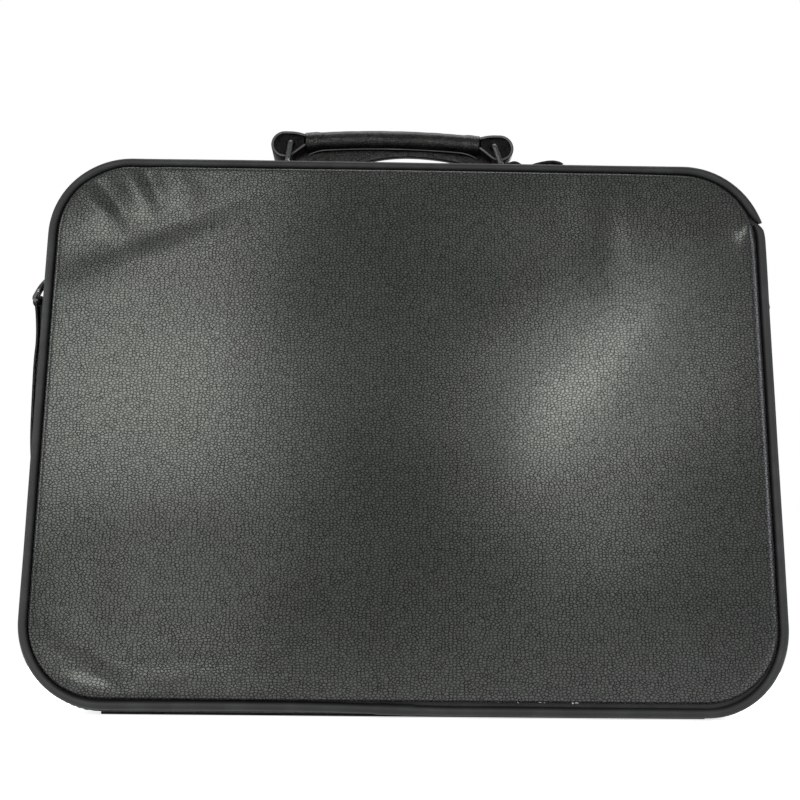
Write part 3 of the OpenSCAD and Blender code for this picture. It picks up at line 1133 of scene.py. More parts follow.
LID_CREASES = (
    Crease(-175, 272, 22, 8, 1.0, -46),
    Crease(-166, 281, 20, 6, -1.1, -48),
    Crease(-154, 286, 18, 7, 1.0, -55),
    Crease(-144, 288, 14, 5, -0.8, -65),
    Crease(-128, 286, 20, 9, 0.6, -60),
    Crease(-137, 263, 60, 12, -1.5, 22),
    Crease(-120, 205, 90, 60, 0.9, 0),
    Crease(-165, 235, 25, 18, 0.5, 20),
    Crease(-160, 13.5, 24, 4.5, 0.8, -8),
    Crease(-163, 24, 19, 4.5, -1.0, -26),
    Crease(-168, 36, 22, 8, 0.5, -26),
    Crease(-163, 66, 13, 22, -0.6, 0),
    Crease(-118, 23, 36, 8, 0.5, 4),
    Crease(-120, 70, 45, 22, -0.8, 10),
    Crease(100, 180, 75, 30, 0.35, 42),
    Crease(60, 120, 40, 26, 0.3, 45),
    Crease(150, 190, 60, 30, -0.4, 50),
    Crease(116, 278, 10, 26, 0.6, 0),
    Crease(97, 262, 12, 30, -0.5, 8),
    Crease(20, 240, 70, 26, -0.8, 12),
    Crease(10, 60, 90, 30, -0.6, -6),
    Crease(110, 60, 40, 30, 0.5, 20),
    Crease(191, 270, 5, 11, 1.5, -25),
)
TUB_CREASES = (
    Crease(-60, 200, 80, 40, 0.8, 30),
    Crease(90, 120, 70, 35, -0.8, -25),
    Crease(160, 275, 22, 6, 0.8, 40),
    Crease(-150, 40, 40, 12, -0.7, 20),
    Crease(20, 60, 90, 30, 0.6, 5),
)


@dataclass
class PaddedPanel:
    """A panel of leatherette over foam, sewn down all round in a groove inside the piping.

    soft_right makes the roll at the right edge wider, from soft_from on. give is the most that the
    leather may settle, and clear and fade keep creases off the seam.
    """

    shape: CaseShape
    half: Half
    creases: tuple[Crease, ...]
    inset: float = 5.1
    rim: tuple[float, ...] = (0, 0.12, 0.35, 0.75, 1.3, 2.0, 3.0, 4.2, 6.0, 8.4, 11)
    back: float = 31.0
    rise: float = 4.6
    crown: float = 3.0
    roll: float = 2.8
    roll_power: float = 2.2
    soft_right: float = 0.0
    soft_from: float = 140.0
    soft_run: float = 45.0
    step: float = 3.4
    reach: float = 224.8
    skin_t: float = 1.2
    push: float = 0.5
    settling: int = 18
    give: float = 1.2
    clear: float = 2.6
    fade: float = 2.0

    def build(self) -> None:
        """Makes the padded skin, settles it and presses its creases in."""
        name = self.half.value
        skin = self.shape.sheet(f"{name}_panel_leather", self.inset, self.rim, self.step)
        edge = vertices_of(skin)[:, 1]
        reshape(skin, self.stuff)
        self.face_out(skin)
        reshape(skin, lambda co: co * MM)
        self.puff(skin, edge)
        reshape(skin, self.crease)
        modify(skin, "SUBSURF", levels=1, render_levels=1)
        modify(skin, "SOLIDIFY", thickness=self.skin_t * MM, offset=-1.0)
        smooth(skin, 60)
        place_piece(skin, PANEL_LEATHER, name, "leatherette", f"{name}_skin", f"{name}_foam")

    def stuff(self, co: np.ndarray) -> np.ndarray:
        """Lifts the flat sheet to the padded form, rolled over at its edge.

        Args:
            co: the sheet's places, with the distance from its edge in Y.

        Returns:
            The padded places.
        """
        x, edge, z = co.T
        far = np.hypot(x, z - self.shape.middle) / self.reach
        full = self.rise + self.crown * (1 - far**2)
        soft = self.soft_right * np.clip((x - self.soft_from) / self.soft_run, 0, 1)
        into = np.clip(edge / (self.roll + soft), 0, 1)
        rolled = (1 - (1 - into) ** self.roll_power) ** (1 / self.roll_power)
        return np.column_stack([x, self.half.facing * (self.back + full * rolled), z])

    def face_out(self, skin: bpy.types.Object) -> None:
        """Turns the sheet so that its faces point away from the case."""
        if skin.data.polygons[len(skin.data.polygons) // 2].normal.y * self.half.facing < 0:
            in_edit(skin, bpy.ops.mesh.flip_normals)

    def puff(self, skin: bpy.types.Object, edge: np.ndarray) -> None:
        """Lets the leather settle under the push of its foam, held at its seam.

        Args:
            skin: the panel, in metres.
            edge: each vertex's distance from the edge, in millimetres.
        """
        start = vertices_of(skin)
        held = skin.vertex_groups.new(name="sewn")
        for k in np.flatnonzero(edge < self.roll + self.soft_right):
            held.add([int(k)], 1.0, "REPLACE")
        take(skin)
        bpy.ops.object.modifier_add(type="CLOTH")
        cloth = skin.modifiers[-1]
        cloth.settings.quality = 6
        cloth.settings.mass = 0.35
        cloth.settings.tension_stiffness = cloth.settings.compression_stiffness = 60
        cloth.settings.bending_stiffness = 12.0
        cloth.settings.shrink_min = 0.001
        cloth.settings.vertex_group_mass = held.name
        cloth.settings.effector_weights.gravity = 0.0
        cloth.settings.use_pressure = True
        cloth.settings.uniform_pressure_force = self.push
        cloth.collision_settings.use_collision = False
        cloth.collision_settings.use_self_collision = False
        cloth.point_cache.frame_end = self.settling
        for number in range(1, self.settling + 1):
            bpy.context.scene.frame_set(number)
        bpy.ops.object.modifier_apply(modifier=cloth.name)
        bpy.context.scene.frame_set(1)
        skin.vertex_groups.clear()
        gone = vertices_of(skin) - start
        far = np.linalg.norm(gone, axis=1)
        LOG.info("%s settled by up to %.2f mm", skin.name, far.max() / MM)
        most = self.give * MM
        share = most * np.tanh(far / most) / np.maximum(far, 1e-12)
        reshape(skin, lambda co: start + gone * share[:, None])

    def crease(self, co: np.ndarray) -> np.ndarray:
        """Presses the creases in, fading out towards the seam.

        Args:
            co: the settled places, in metres.

        Returns:
            The creased places.
        """
        x, z = co[:, 0] / MM, co[:, 2] / MM
        lift = sum(c.lift(x, z) for c in self.creases)
        depth = np.clip((np.abs(co[:, 1]) / MM - self.back - self.clear) / self.fade, 0, 1)
        moved = co.copy()
        moved[:, 1] += self.half.facing * lift * depth * MM
        return moved


@dataclass
class Piping:
    """A cord under drawn vinyl, sewn round the panel by a flat flange, its two ends lapped below.

    tear is where along the outline it has torn, and after and before hold how far the torn ends
    reach, how much they thin and how far they lift. slack is where it sags and how softly.
    """

    shape: CaseShape
    half: Half
    bead: float = 5.0
    flange: float = 1.0
    flange_w: float = 8.0
    flange_low: float = 2.1
    axis: float = 32.5
    step: float = 2.0
    lap_start: float = -16.0
    lap: float = 22.0
    lap_over: float = 4.0
    lap_edge: float = 0.6
    lap_swell: float = 0.13
    sag: float = 0.0
    slack: tuple[Pair, Pair] = ((-70, 110), (225, 70))
    tear: float | None = None
    tear_gap: float = 0.3
    after: Triple = (8, 0.6, 1.9)
    before: Triple = (5, 0.4, -1.2)

    def build(self) -> None:
        """Makes the bead in the runs between its joint and any tear."""
        name = self.half.value
        cuts = [self.lap_start, self.lap_start + self.shape.perimeter + self.lap_over]
        if self.tear:
            cuts[1:1] = [self.tear - self.tear_gap, self.tear + self.tear_gap]
        runs = []
        for first, last in zip(cuts[::2], cuts[1::2]):
            run = strip(f"{name}_piping_run", self.section(), first, last - first, self.step)
            reshape(run, self.uneven)
            runs.append(run)
        bead = joined(f"{name}_piping_cord", runs)
        settle(self.shape.outline().lay(bead), 50)
        place_piece(bead, PIPING_VINYL, name, "piping_vinyl", f"{name}_piping")

    def section(self) -> list[Pair]:
        """The bead with its flange.

        Returns:
            Places across and out, in order.
        """
        r, low = self.bead / 2, self.flange_low
        first = math.pi + math.asin((low - self.flange) / r)
        turns = np.linspace(first, -math.pi + math.asin(low / r), 25)
        arc = [(self.axis + r * math.sin(a), -r + r * math.cos(a)) for a in turns]
        inner = -self.bead - self.flange_w
        places = [(self.axis - low + self.flange, inner), *arc, (self.axis - low, inner)]
        return [(self.half.facing * f, n) for f, n in places]

    def uneven(self, co: np.ndarray) -> np.ndarray:
        """Gives the bead its lapped joint, its slight unevenness and, at a tear, a lifted point.

        Args:
            co: the straight bead's places.

        Returns:
            The uneven bead's places.
        """
        r = self.bead / 2
        s = co[:, 0]
        across, out = co[:, 1] - self.half.facing * self.axis, co[:, 2] + r
        on_bead = np.hypot(across, out) < r * 1.02
        past = s - self.lap_start
        lapped = np.clip(past / self.lap_edge, 0, 1)
        lapped = lapped * np.clip((self.lap - past) / self.lap_edge, 0, 1)
        grow = 1 + self.lap_swell * lapped + wander(s, 0.012, (37, 61, 113))
        low = np.where(s > self.shape.perimeter / 2, s - self.shape.perimeter, s)
        (first, ease_in), (last, ease_out) = self.slack
        slack = np.clip((low - first) / ease_in, 0, 1) * np.clip((last - low) / ease_out, 0, 1)
        lift = wander(s, 0.12, (83, 149, 261), 0.6) + self.sag * slack**2 * (3 - 2 * slack)
        if self.tear:
            after = np.clip(1 - (s - self.tear) / self.after[0], 0, 1) * (s > self.tear)
            before = np.clip(1 - (self.tear - s) / self.before[0], 0, 1) * (s < self.tear)
            after, before = after**1.6, before**1.5
            grow = grow * (1 - self.after[1] * after - self.before[1] * before)
            lift = lift + self.after[2] * after + self.before[2] * before
        lift = np.where(on_bead, lift, 0.5 * lift)
        grow = np.where(on_bead, grow, 1.0)
        moved = self.half.facing * self.axis + across * grow
        return np.column_stack([s, moved, out * grow - r + lift])


@dataclass
class Gusset:
    """The leatherette band between a panel's seam and the zip, turned in along the zip and sewn."""

    shape: CaseShape
    half: Half
    step: float = 4.0
    stitch_in: float = 2.0
    stitch_end: float = 3.0
    stitch_out: float = 0.05
    turn_r: float = 0.25
    turn_in: float = 0.8
    dip: float = 0.35

    @property
    def end(self) -> float:
        """Where the band stops beside the zip, from mid-depth towards its own panel."""
        return self.shape.reveal - self.half.facing * self.shape.zip_line

    def build(self) -> None:
        """Makes the band and its row of stitches."""
        name, s = self.half.value, self.shape
        band = strip(f"{name}_gusset_band", self.section(), 0.0, s.perimeter, self.step, True)
        reshape(band, self.soften)
        merge_seam(s.outline().lay(band))
        settle(band, 50)
        place_piece(band, GUSSET_LEATHER, name, "leatherette", f"{name}_gusset")
        gap = s.base_half + self.stitch_end
        row = GUSSET_SEAM.row(
            f"{name}_gusset_stitches",
            gap,
            s.perimeter - 2 * gap,
            self.half.facing * (self.end + self.stitch_in),
            s.bulge + self.stitch_out,
        )
        place_piece(settle(s.outline().lay(row)), DARK_THREAD, name, "webbing")

    def section(self) -> list[Pair]:
        """Outer face from the seam over a round shoulder to the turned edge, then back inside.

        Returns:
            Places across and out, in order.
        """
        s, r = self.shape, self.turn_r
        outer = []
        for t in np.linspace(0, 1, 8):
            ease = 0.35 * t + 0.65 * math.sin(t * math.pi / 2)
            outer.append((s.seam - (s.seam - s.flat) * t, -s.drop + (s.bulge + s.drop) * ease))
        width = s.flat - self.end
        for t in np.linspace(0, 1, 10 if width > 10 else 4)[1:]:
            outer.append((s.flat - (width - self.turn_in) * t, s.bulge))
        inside = s.bulge - s.wall
        turn = [
            (self.end + r, s.bulge - r),
            (self.end, s.bulge - s.wall / 2),
            (self.end + r, inside + r),
        ]
        inner = [(self.end + self.turn_in, inside), (s.flat, inside), (s.seam, -s.drop - s.wall)]
        return [(self.half.facing * f, n) for f, n in outer + turn + inner]

    def soften(self, co: np.ndarray) -> np.ndarray:
        """Lets the outer face dip a little between its stiffer edges.

        Args:
            co: the straight band's places.

        Returns:
            The softened places.
        """
        f = co[:, 1] * self.half.facing
        middle = (self.shape.flat + self.end) / 2
        width = max((self.shape.flat - self.end) / 2, 1)
        inside = np.clip(1 - ((f - middle) / width) ** 2, 0, 1)
        dip = self.dip + wander(co[:, 0], 0.3, (71, 127, 190), 0.9)
        moved = co.copy()
        outer = co[:, 2] > self.shape.bulge - 0.05
        moved[:, 2] -= np.where(outer, inside * np.clip(dip, 0, None), 0.0)
        return moved


@dataclass
class ZipFastener:
    """A coil zip round the case but for the base, with two sliders that meet at the top."""

    shape: CaseShape
    tape_t: float = 0.6
    coil_w: float = 2.4
    coil_gap: float = 1.4
    coil_h: float = 1.7
    wire: float = 0.34
    pitch: float = 1.7
    mesh_in: float = 0.3
    tape_low: float = 0.02
    coil_low: float = 0.25
    slant: float = 0.3
    stagger: float = 0.25
    tongue: tuple[Pair, ...] = (
        (69.0, 307.6),
        (73.0, 309.4),
        (79.0, 311.0),
        (84.0, 311.6),
        (88.0, 310.8),
        (89.6, 309.6),
    )

    def build(self) -> None:
        """Makes tape and coil for each half, and dresses sliders and pulls."""
        for half in Half:
            self.tape(half)
            self.coil(half)
        for side in Side:
            dress_node(f"zip_slider_{side.value}", ZIP_STEEL)
            dress_node(f"zip_pull_{side.value}", ZIP_STEEL)
        self.pull_tab()

    def pull_tab(self) -> None:
        """A folded tongue of leather on the left pull, which shows as a low hump on the top."""
        section = slab(5.4, 1.5, -self.shape.zip_line, 0.0, 0.45)
        tab = Path.through(self.tongue, 1.0).strap("zip_pull_tongue", section, 0.8)
        place_piece(settle(tab, 50), STRAP_LEATHER, "pull_left", "leatherette")

    def run(self) -> Pair:
        """Where the zip starts along the outline, and how long it is."""
        return self.shape.base_half, self.shape.perimeter - 2 * self.shape.base_half

    def tape(self, half: Half) -> None:
        """The woven tape, under the gusset's edge.

        Args:
            half: the half that it is sewn to.
        """
        s, name = self.shape, half.value
        near, far = self.coil_gap / 2, s.reveal + s.tape_lap
        top = s.bulge - s.wall - self.tape_low
        low = top - self.tape_t
        places = [(near, top), (near, low), (far, low), (far, top), ((near + far) / 2, top)]
        section = [(half.facing * f - s.zip_line, n) for f, n in places]
        tape = strip(f"{name}_zip_tape_weave", section, *self.run(), 5.0)
        settle(s.outline().lay(tape))
        place_piece(tape, TAPE_WEAVE, name, "webbing", f"{name}_zip_tape")

    def coil(self, half: Half) -> None:
        """A row of turns, each an oval of wire whose head reaches the zip line.

        Args:
            half: the half that it is sewn to.
        """
        s, name = self.shape, half.value
        start, length = self.run()
        wire_r = 0.3
        across = 2 * (1 + wire_r)
        deselect()
        bpy.ops.mesh.primitive_torus_add(
            major_segments=8, minor_segments=4, major_radius=1.0, minor_radius=wire_r
        )
        turn = named(f"{name}_zip_coil_turns")
        low, high = -self.mesh_in, self.coil_gap / 2 + self.coil_w
        first = start + self.pitch / 2 - self.stagger * self.pitch * half.facing
        middle = s.bulge - self.coil_low - self.coil_h / 2

        def oval(co: np.ndarray) -> np.ndarray:
            """Bends the ring of wire to one slanted turn of the coil.

            Args:
                co: the ring's places.

            Returns:
                The turn's places.
            """
            f = (low + high) / 2 + co[:, 0] * (high - low) / across
            n = middle + co[:, 1] * self.coil_h / across
            along = co[:, 2] * self.wire / wire_r + self.slant * co[:, 1]
            return np.column_stack([first + along, half.facing * f - s.zip_line, n])

        reshape(turn, oval)
        repeat(turn, int(length / self.pitch) - 1, self.pitch)
        settle(s.outline().lay(turn), 60)
        place_piece(turn, COIL_NYLON, name, "zip_coil", f"{name}_zip_coil")


@dataclass
class Base:
    """The leather strip under the bottom, in two parts with a soft fold on the hinge line."""

    shape: CaseShape
    thick: float = 1.5
    half_depth: float = 22.0
    hinge_fit: float = 1.05
    stitch_in: float = 2.5
    stitch_end: float = 4.0
    stitch_up: float = 0.25
    fold_t: float = 0.65
    fold_low: float = 0.1
    fold_lap: float = 0.6
    fold_past: float = 0.3
    fold_sag: float = 0.35
    sag_wide: float = 0.8
    bend: float = 0.9

    def build(self) -> None:
        """Makes both strips, their stitches and the fold."""
        run = self.shape.base_half - self.stitch_end
        for half in Half:
            name = half.value
            sole = eased_copy(f"{name}_base", f"{name}_base_strip", 0.45)
            place_piece(sole, STRAP_LEATHER, name, "leatherette", f"{name}_base")
            across = half.facing * (self.half_depth - self.stitch_in)
            row = BASE_SEAM.row(f"{name}_base_stitches", -run, 2 * run, across, self.stitch_up)
            place_piece(settle(row), DARK_THREAD, name, "webbing")
        self.fold()
        dress_node("base_board", PULP_BOARD)

    def fold(self) -> None:
        """The fold of thin leather that the lid turns on."""
        line, top = -self.shape.zip_line, self.thick - self.fold_low
        front = line - self.hinge_fit - self.fold_lap
        upper = []
        for y in np.linspace(front, line + 2 * self.hinge_fit + self.fold_past, 13):
            sag = self.fold_sag * math.exp(-(((y - line) / self.sag_wide) ** 2))
            upper.append((y, top - sag))
        lower = [(y, z - self.fold_t) for y, z in upper[::-1]]
        length = 2 * self.shape.base_half - 1
        fold = settle(strip("hinge_fold_leather", upper + lower, -length / 2, length, 8.0), 60)
        fold.data.materials.append(PIPING_VINYL.material())
        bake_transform(fold)
        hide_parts("hinge_fold")
        LOG.info("%s bends between tub and lid", fold.name)


@dataclass
class RivetedStrap:
    """A folded strap that holds a ring pin: a riveted flat, a slope and a loop."""

    shape: CaseShape
    node: str
    name: str
    rise: float
    ramp: float
    flat: float
    width: float
    thick: float = 2.4
    edge_in: float = 2.4
    loop_clear: float = 5.0

    def build(
        self, place: Callable[[float, float], Pair], turn: Callable[[float, float], Pair]
    ) -> None:
        """Makes the strap and its two rows of stitches.

        Args:
            place: carries a place along and above the strap to X and Z.
            turn: carries a direction the same way.
        """
        strap = eased_copy(self.node, self.name, 0.55)
        place_piece(strap, STRAP_LEATHER, "tub", "leatherette", self.node)
        slope = math.atan2(self.rise - self.thick / 2, self.ramp)
        up = (math.sin(slope), math.cos(slope))
        knee = (math.sin(slope / 2), math.cos(slope / 2))
        level = (0.0, 1.0)
        along = [
            ((self.ramp + self.flat - 1.5, self.thick), level),
            ((self.ramp + 1.5, self.thick), level),
            ((self.ramp + 0.2, self.thick - 0.05), knee),
            (self.on_slope(1.0, up), up),
            (self.on_slope(self.ramp - self.loop_clear, up), up),
        ]
        points = np.array([place(*p) for p, _ in along])
        path = Path(points, np.array([turn(*d) for _, d in along]))
        apart = self.width / 2 - self.edge_in
        name = f"{self.name}_stitches"
        sewn = STRAP_SEAM.pair(name, 0.5, path.length - 1, self.shape.carry, apart, 0.1)
        place_piece(settle(path.lay(sewn)), DARK_THREAD, "tub", "webbing")

    def on_slope(self, back: float, up: Pair) -> Pair:
        """Finds the top of the slope.

        Args:
            back: distance back from the slope's foot.
            up: the way out from the slope.

        Returns:
            The place along and above the strap.
        """
        half = self.thick / 2
        height = half + (self.rise - half) * back / self.ramp
        return self.ramp - back + up[0] * half, height + up[1] * half


@dataclass
class Handle:
    """A padded grip with a stitched fin below, and at each end a roll of leather on a wire ring.

    wrap_in and wrap_out are where the outer turn of a roll comes from and goes to, and slack is the
    line of the loose layer of the right anchor.
    """

    shape: CaseShape
    middle: float = -8.0
    anchor_half: float = 63.0
    anchor_ramp: float = 20.0
    anchor_flat: float = 26.0
    anchor_w: float = 18.0
    rise: float = 7.0
    left_bar: Pair = (-69.2938, 325.3956)
    right_bar: Pair = (50.6738, 324.8148)
    lift: float = 5.9
    radius: float = 6.5
    arch: float = 2.5
    end_gap: float = 8.4
    neck: float = 6.2
    neck_fall: float = 0.26
    neck_from: float = 2.5
    neck_run: float = 6.0
    roll: float = 7.5
    roll_out: float = 3.5
    roll_low: float = 0.5
    roll_w: float = 16.0
    wrap_t: float = 1.7
    wrap_turn: Pair = (-53.5, -263)
    wrap_in: tuple[Pair, ...] = ((8.3, -0.6), (5.6, -2.6))
    wrap_out: tuple[Pair, ...] = ((2.5, 6.9), (8.3, 5.4))
    fin: float = 3.4
    fin_ends: float = 8.5
    fin_t: float = 3.4
    fin_past: float = 8.0
    fin_shallow: float = 13.0
    fin_tip: float = 4.6
    collar: float = 8.5
    lip_apart: float = 2.9
    curl_run: float = 11.0
    curl_down: float = 2.4
    slack_w: float = 16.0
    slack_t: float = 1.2
    slack: tuple[Pair, ...] = (
        (52.0, 311.2),
        (52.4, 313.2),
        (55.5, 314.0),
        (59.5, 314.9),
        (63.4, 316.5),
        (67.5, 313.9),
        (72.0, 309.9),
        (79.0, 307.6),
        (92.0, 307.5),
    )

    def build(self) -> None:
        """Makes anchors, rolled ends and grip, and dresses rings and rivets."""
        for side in Side:
            name, sign = side.value, side.sign
            foot = self.middle + sign * self.anchor_half
            anchor = RivetedStrap(
                self.shape,
                node=f"handle_anchor_{name}",
                name=f"handle_anchor_strap_{name}",
                rise=self.rise,
                ramp=self.anchor_ramp,
                flat=self.anchor_flat,
                width=self.anchor_w,
            )
            anchor.build(
                lambda along, up: (foot + sign * along, self.shape.top + up),
                lambda along, up: (sign * along, up),
            )
            dress_node(f"handle_ring_{name}", RING_STEEL)
        dress_node("anchor_rivets", RIVET_STEEL)
        dress_node("handle_plate", PLATE_STEEL)
        dress_node("grip_core", DARK_FOAM)
        rolls = eased_copy("handle_strap", "handle_rolled_ends", 0.5)
        reshape(rolls, self.press_necks)
        place_piece(rolls, CUT_LEATHER, "handle", "leatherette", "handle_strap")
        self.slack_fold()
        self.wraps()
        self.grip()

    def axes(self) -> tuple[np.ndarray, np.ndarray, float]:
        """Works out the handle's own directions.

        Returns:
            The way along it, the way up from it, and the distance between the ring bars.
        """
        way = np.array(self.right_bar) - np.array(self.left_bar)
        span = float(np.linalg.norm(way))
        return way / span, np.array([-way[1], way[0]]) / span, span

    def line(self, past: float = 0.0) -> tuple[Path, float]:
        """The arched axis of the grip.

        Args:
            past: how far the line goes on past each end.

        Returns:
            The line, and its length.
        """
        along, up, span = self.axes()
        half = span / 2 - self.end_gap
        bow = (half**2 + self.arch**2) / (2 * self.arch)
        most = math.asin(half / bow) + past / bow
        middle = np.array(self.left_bar) + along * span / 2 + up * self.lift
        points, outs = [], []
        for a in np.linspace(-most, most, 61):
            points.append(middle + along * bow * math.sin(a) + up * bow * (math.cos(a) - 1))
            outs.append(along * math.sin(a) + up * math.cos(a))
        return Path(np.array(points), np.array(outs)), 2 * most * bow

    def press_necks(self, co: np.ndarray) -> np.ndarray:
        """Lowers the necks of the rolled ends where they run in under the collars.

        Args:
            co: the rolled ends' places, in metres.

        Returns:
            The lowered places.
        """
        along, up, span = self.axes()
        off = co[:, [0, 2]] / MM - np.array(self.left_bar)
        u, v = off @ along, off @ up
        inward = np.clip(np.minimum(u, span - u) - self.neck_from, 0, self.neck_run)
        lower = np.minimum(v, self.neck - self.neck_fall * inward)
        return co + ((lower - v)[:, None] * np.array([up[0], 0.0, up[1]])) * MM

    def wraps(self) -> None:
        """The outer turn of each rolled end, with its paler cut edges."""
        along, up, _ = self.axes()
        r, carry = self.roll, self.shape.carry
        turns = np.radians(np.linspace(*self.wrap_turn, 30))
        ring = [(r * math.cos(a) - self.roll_out, r * math.sin(a) - self.roll_low) for a in turns]
        corners = [*self.wrap_in, *ring, *self.wrap_out]
        bands, edges = [], []
        for side, bar in ((Side.LEFT, self.left_bar), (Side.RIGHT, self.right_bar)):
            points = [tuple(np.array(bar) - side.sign * along * u + up * v) for u, v in corners]
            path = Path.through(points, side.sign, cuts=2)
            section = slab(self.roll_w + 1.0, self.wrap_t, carry, 0.0, 0.4)
            bands.append(path.strap("roll_band", section, 0.8))
            for face in (-1, 1):
                across = carry + face * (self.roll_w / 2 + 0.5)
                edges.append(path.strap("roll_edge", slab(0.3, 1.1, across, 0.1, 0.14), 0.8))
        for name, parts, finish in (
            ("handle_roll_bands", bands, STRAP_LEATHER),
            ("handle_roll_edges", edges, EDGE_VINYL),
        ):
            place_piece(settle(joined(name, parts), 50), finish, "handle", "leatherette")

    def slack_fold(self) -> None:
        """The outer layer of the right anchor, which stands up slack behind its ring."""
        section = slab(self.slack_w, self.slack_t, self.shape.carry, 0.0, 0.4)
        fold = Path.through(self.slack, 1.0).strap("handle_anchor_slack_fold", section, 1.0)
        place_piece(settle(fold, 50), STRAP_LEATHER, "tub", "leatherette")

    def grip(self) -> None:
        """The leather round the grip, the fin below it, the lapped edge and the stitches."""
        path, length = self.line()
        carry, r = self.shape.carry, self.radius
        angles = np.linspace(0, 2 * math.pi, 37)[:-1]
        circle = [(r * math.sin(a), r * math.cos(a)) for a in angles]
        cover = strip("grip_tube", circle, 0.0, length, 0.8)
        reshape(cover, lambda co: self.wrap(co, length))
        path.lay(cover)
        long_path, long = self.line(self.fin_past)
        depth = self.fin + 0.8
        section = slab(self.fin_t, depth, carry, -r - self.fin + depth / 2)
        fin = strip("grip_fin", section, 0.0, long, 1.2)
        reshape(fin, lambda co: self.deepen(co, long))
        leather = joined("grip_leather", [cover, long_path.lay(fin)])
        place_piece(settle(leather, 45), GRIP_LEATHER, "handle", "leatherette", "grip_cover")
        apart = self.fin_t / 2 + 0.05
        sewn = GRIP_SEAM.pair("grip_stitches", 5.0, length - 10, carry, apart, -r - 1.9)
        place_piece(settle(path.lay(sewn)), DARK_THREAD, "handle", "webbing")
        lips = []
        for face in (-1, 1):
            section = slab(0.7, 0.6, carry + face * self.lip_apart, 0.6 - r, 0.2)
            lip = strip("grip_lip", section, 1.0, length - 2, 1.2)
            reshape(lip, lambda co: self.curl(co, length))
            lips.append(lip)
        edge = path.lay(joined("grip_lapped_edge", lips))
        place_piece(settle(edge), EDGE_VINYL, "handle", "leatherette")

    def wrap(self, co: np.ndarray, length: float) -> np.ndarray:
        """Adds the collars and the slight creasing of hand-wrapped leather.

        Args:
            co: the straight tube's places.
            length: the tube's length.

        Returns:
            The wrapped places.
        """
        s = co[:, 0]
        from_end = np.minimum(s, length - s)
        collar = 0.05 * np.clip((self.collar - from_end) / 0.8, 0, 1)
        angle = np.arctan2(co[:, 1], co[:, 2])
        ripple = 0.01 * np.sin(s / 2.1 + 2.0 * angle) * np.sin(s / 7.3 + 0.8)
        grow = 1 + collar + ripple
        return np.column_stack([s, co[:, 1] * grow + self.shape.carry, co[:, 2] * grow])

    def deepen(self, co: np.ndarray, long: float) -> np.ndarray:
        """Makes the fin deeper towards the ends of the grip and shallower again beyond them.

        Args:
            co: the straight fin's places.
            long: the fin's length.

        Returns:
            The deepened places.
        """
        half = long / 2
        off = co[:, 0] - half - self.fin_shallow
        inside = np.minimum(self.fin + np.where(off < 0, 0.0043, 0.0024) * off**2, self.fin_ends)
        past = np.clip((np.abs(co[:, 0] - half) - half + self.fin_past) / self.fin_past, 0, 1)
        depth = inside + (self.fin_tip - inside) * past
        below = co[:, 2] < -self.radius - 0.2
        deeper = (co[:, 2] + self.radius) * depth / self.fin - self.radius
        moved = co.copy()
        moved[:, 2] = np.where(below, deeper, co[:, 2])
        return moved

    def curl(self, co: np.ndarray, length: float) -> np.ndarray:
        """Turns the ends of the lapped edge down onto the fin.

        Args:
            co: the straight edge's places.
            length: the grip's length.

        Returns:
            The curled places.
        """
        moved = co.copy()
        from_end = np.minimum(co[:, 0], length - co[:, 0])
        down = np.clip(1 - from_end / self.curl_run, 0, 1) ** 2
        moved[:, 2] -= self.curl_down * down
        moved[:, 1] -= np.sign(co[:, 1] - self.shape.carry) * down
        return moved


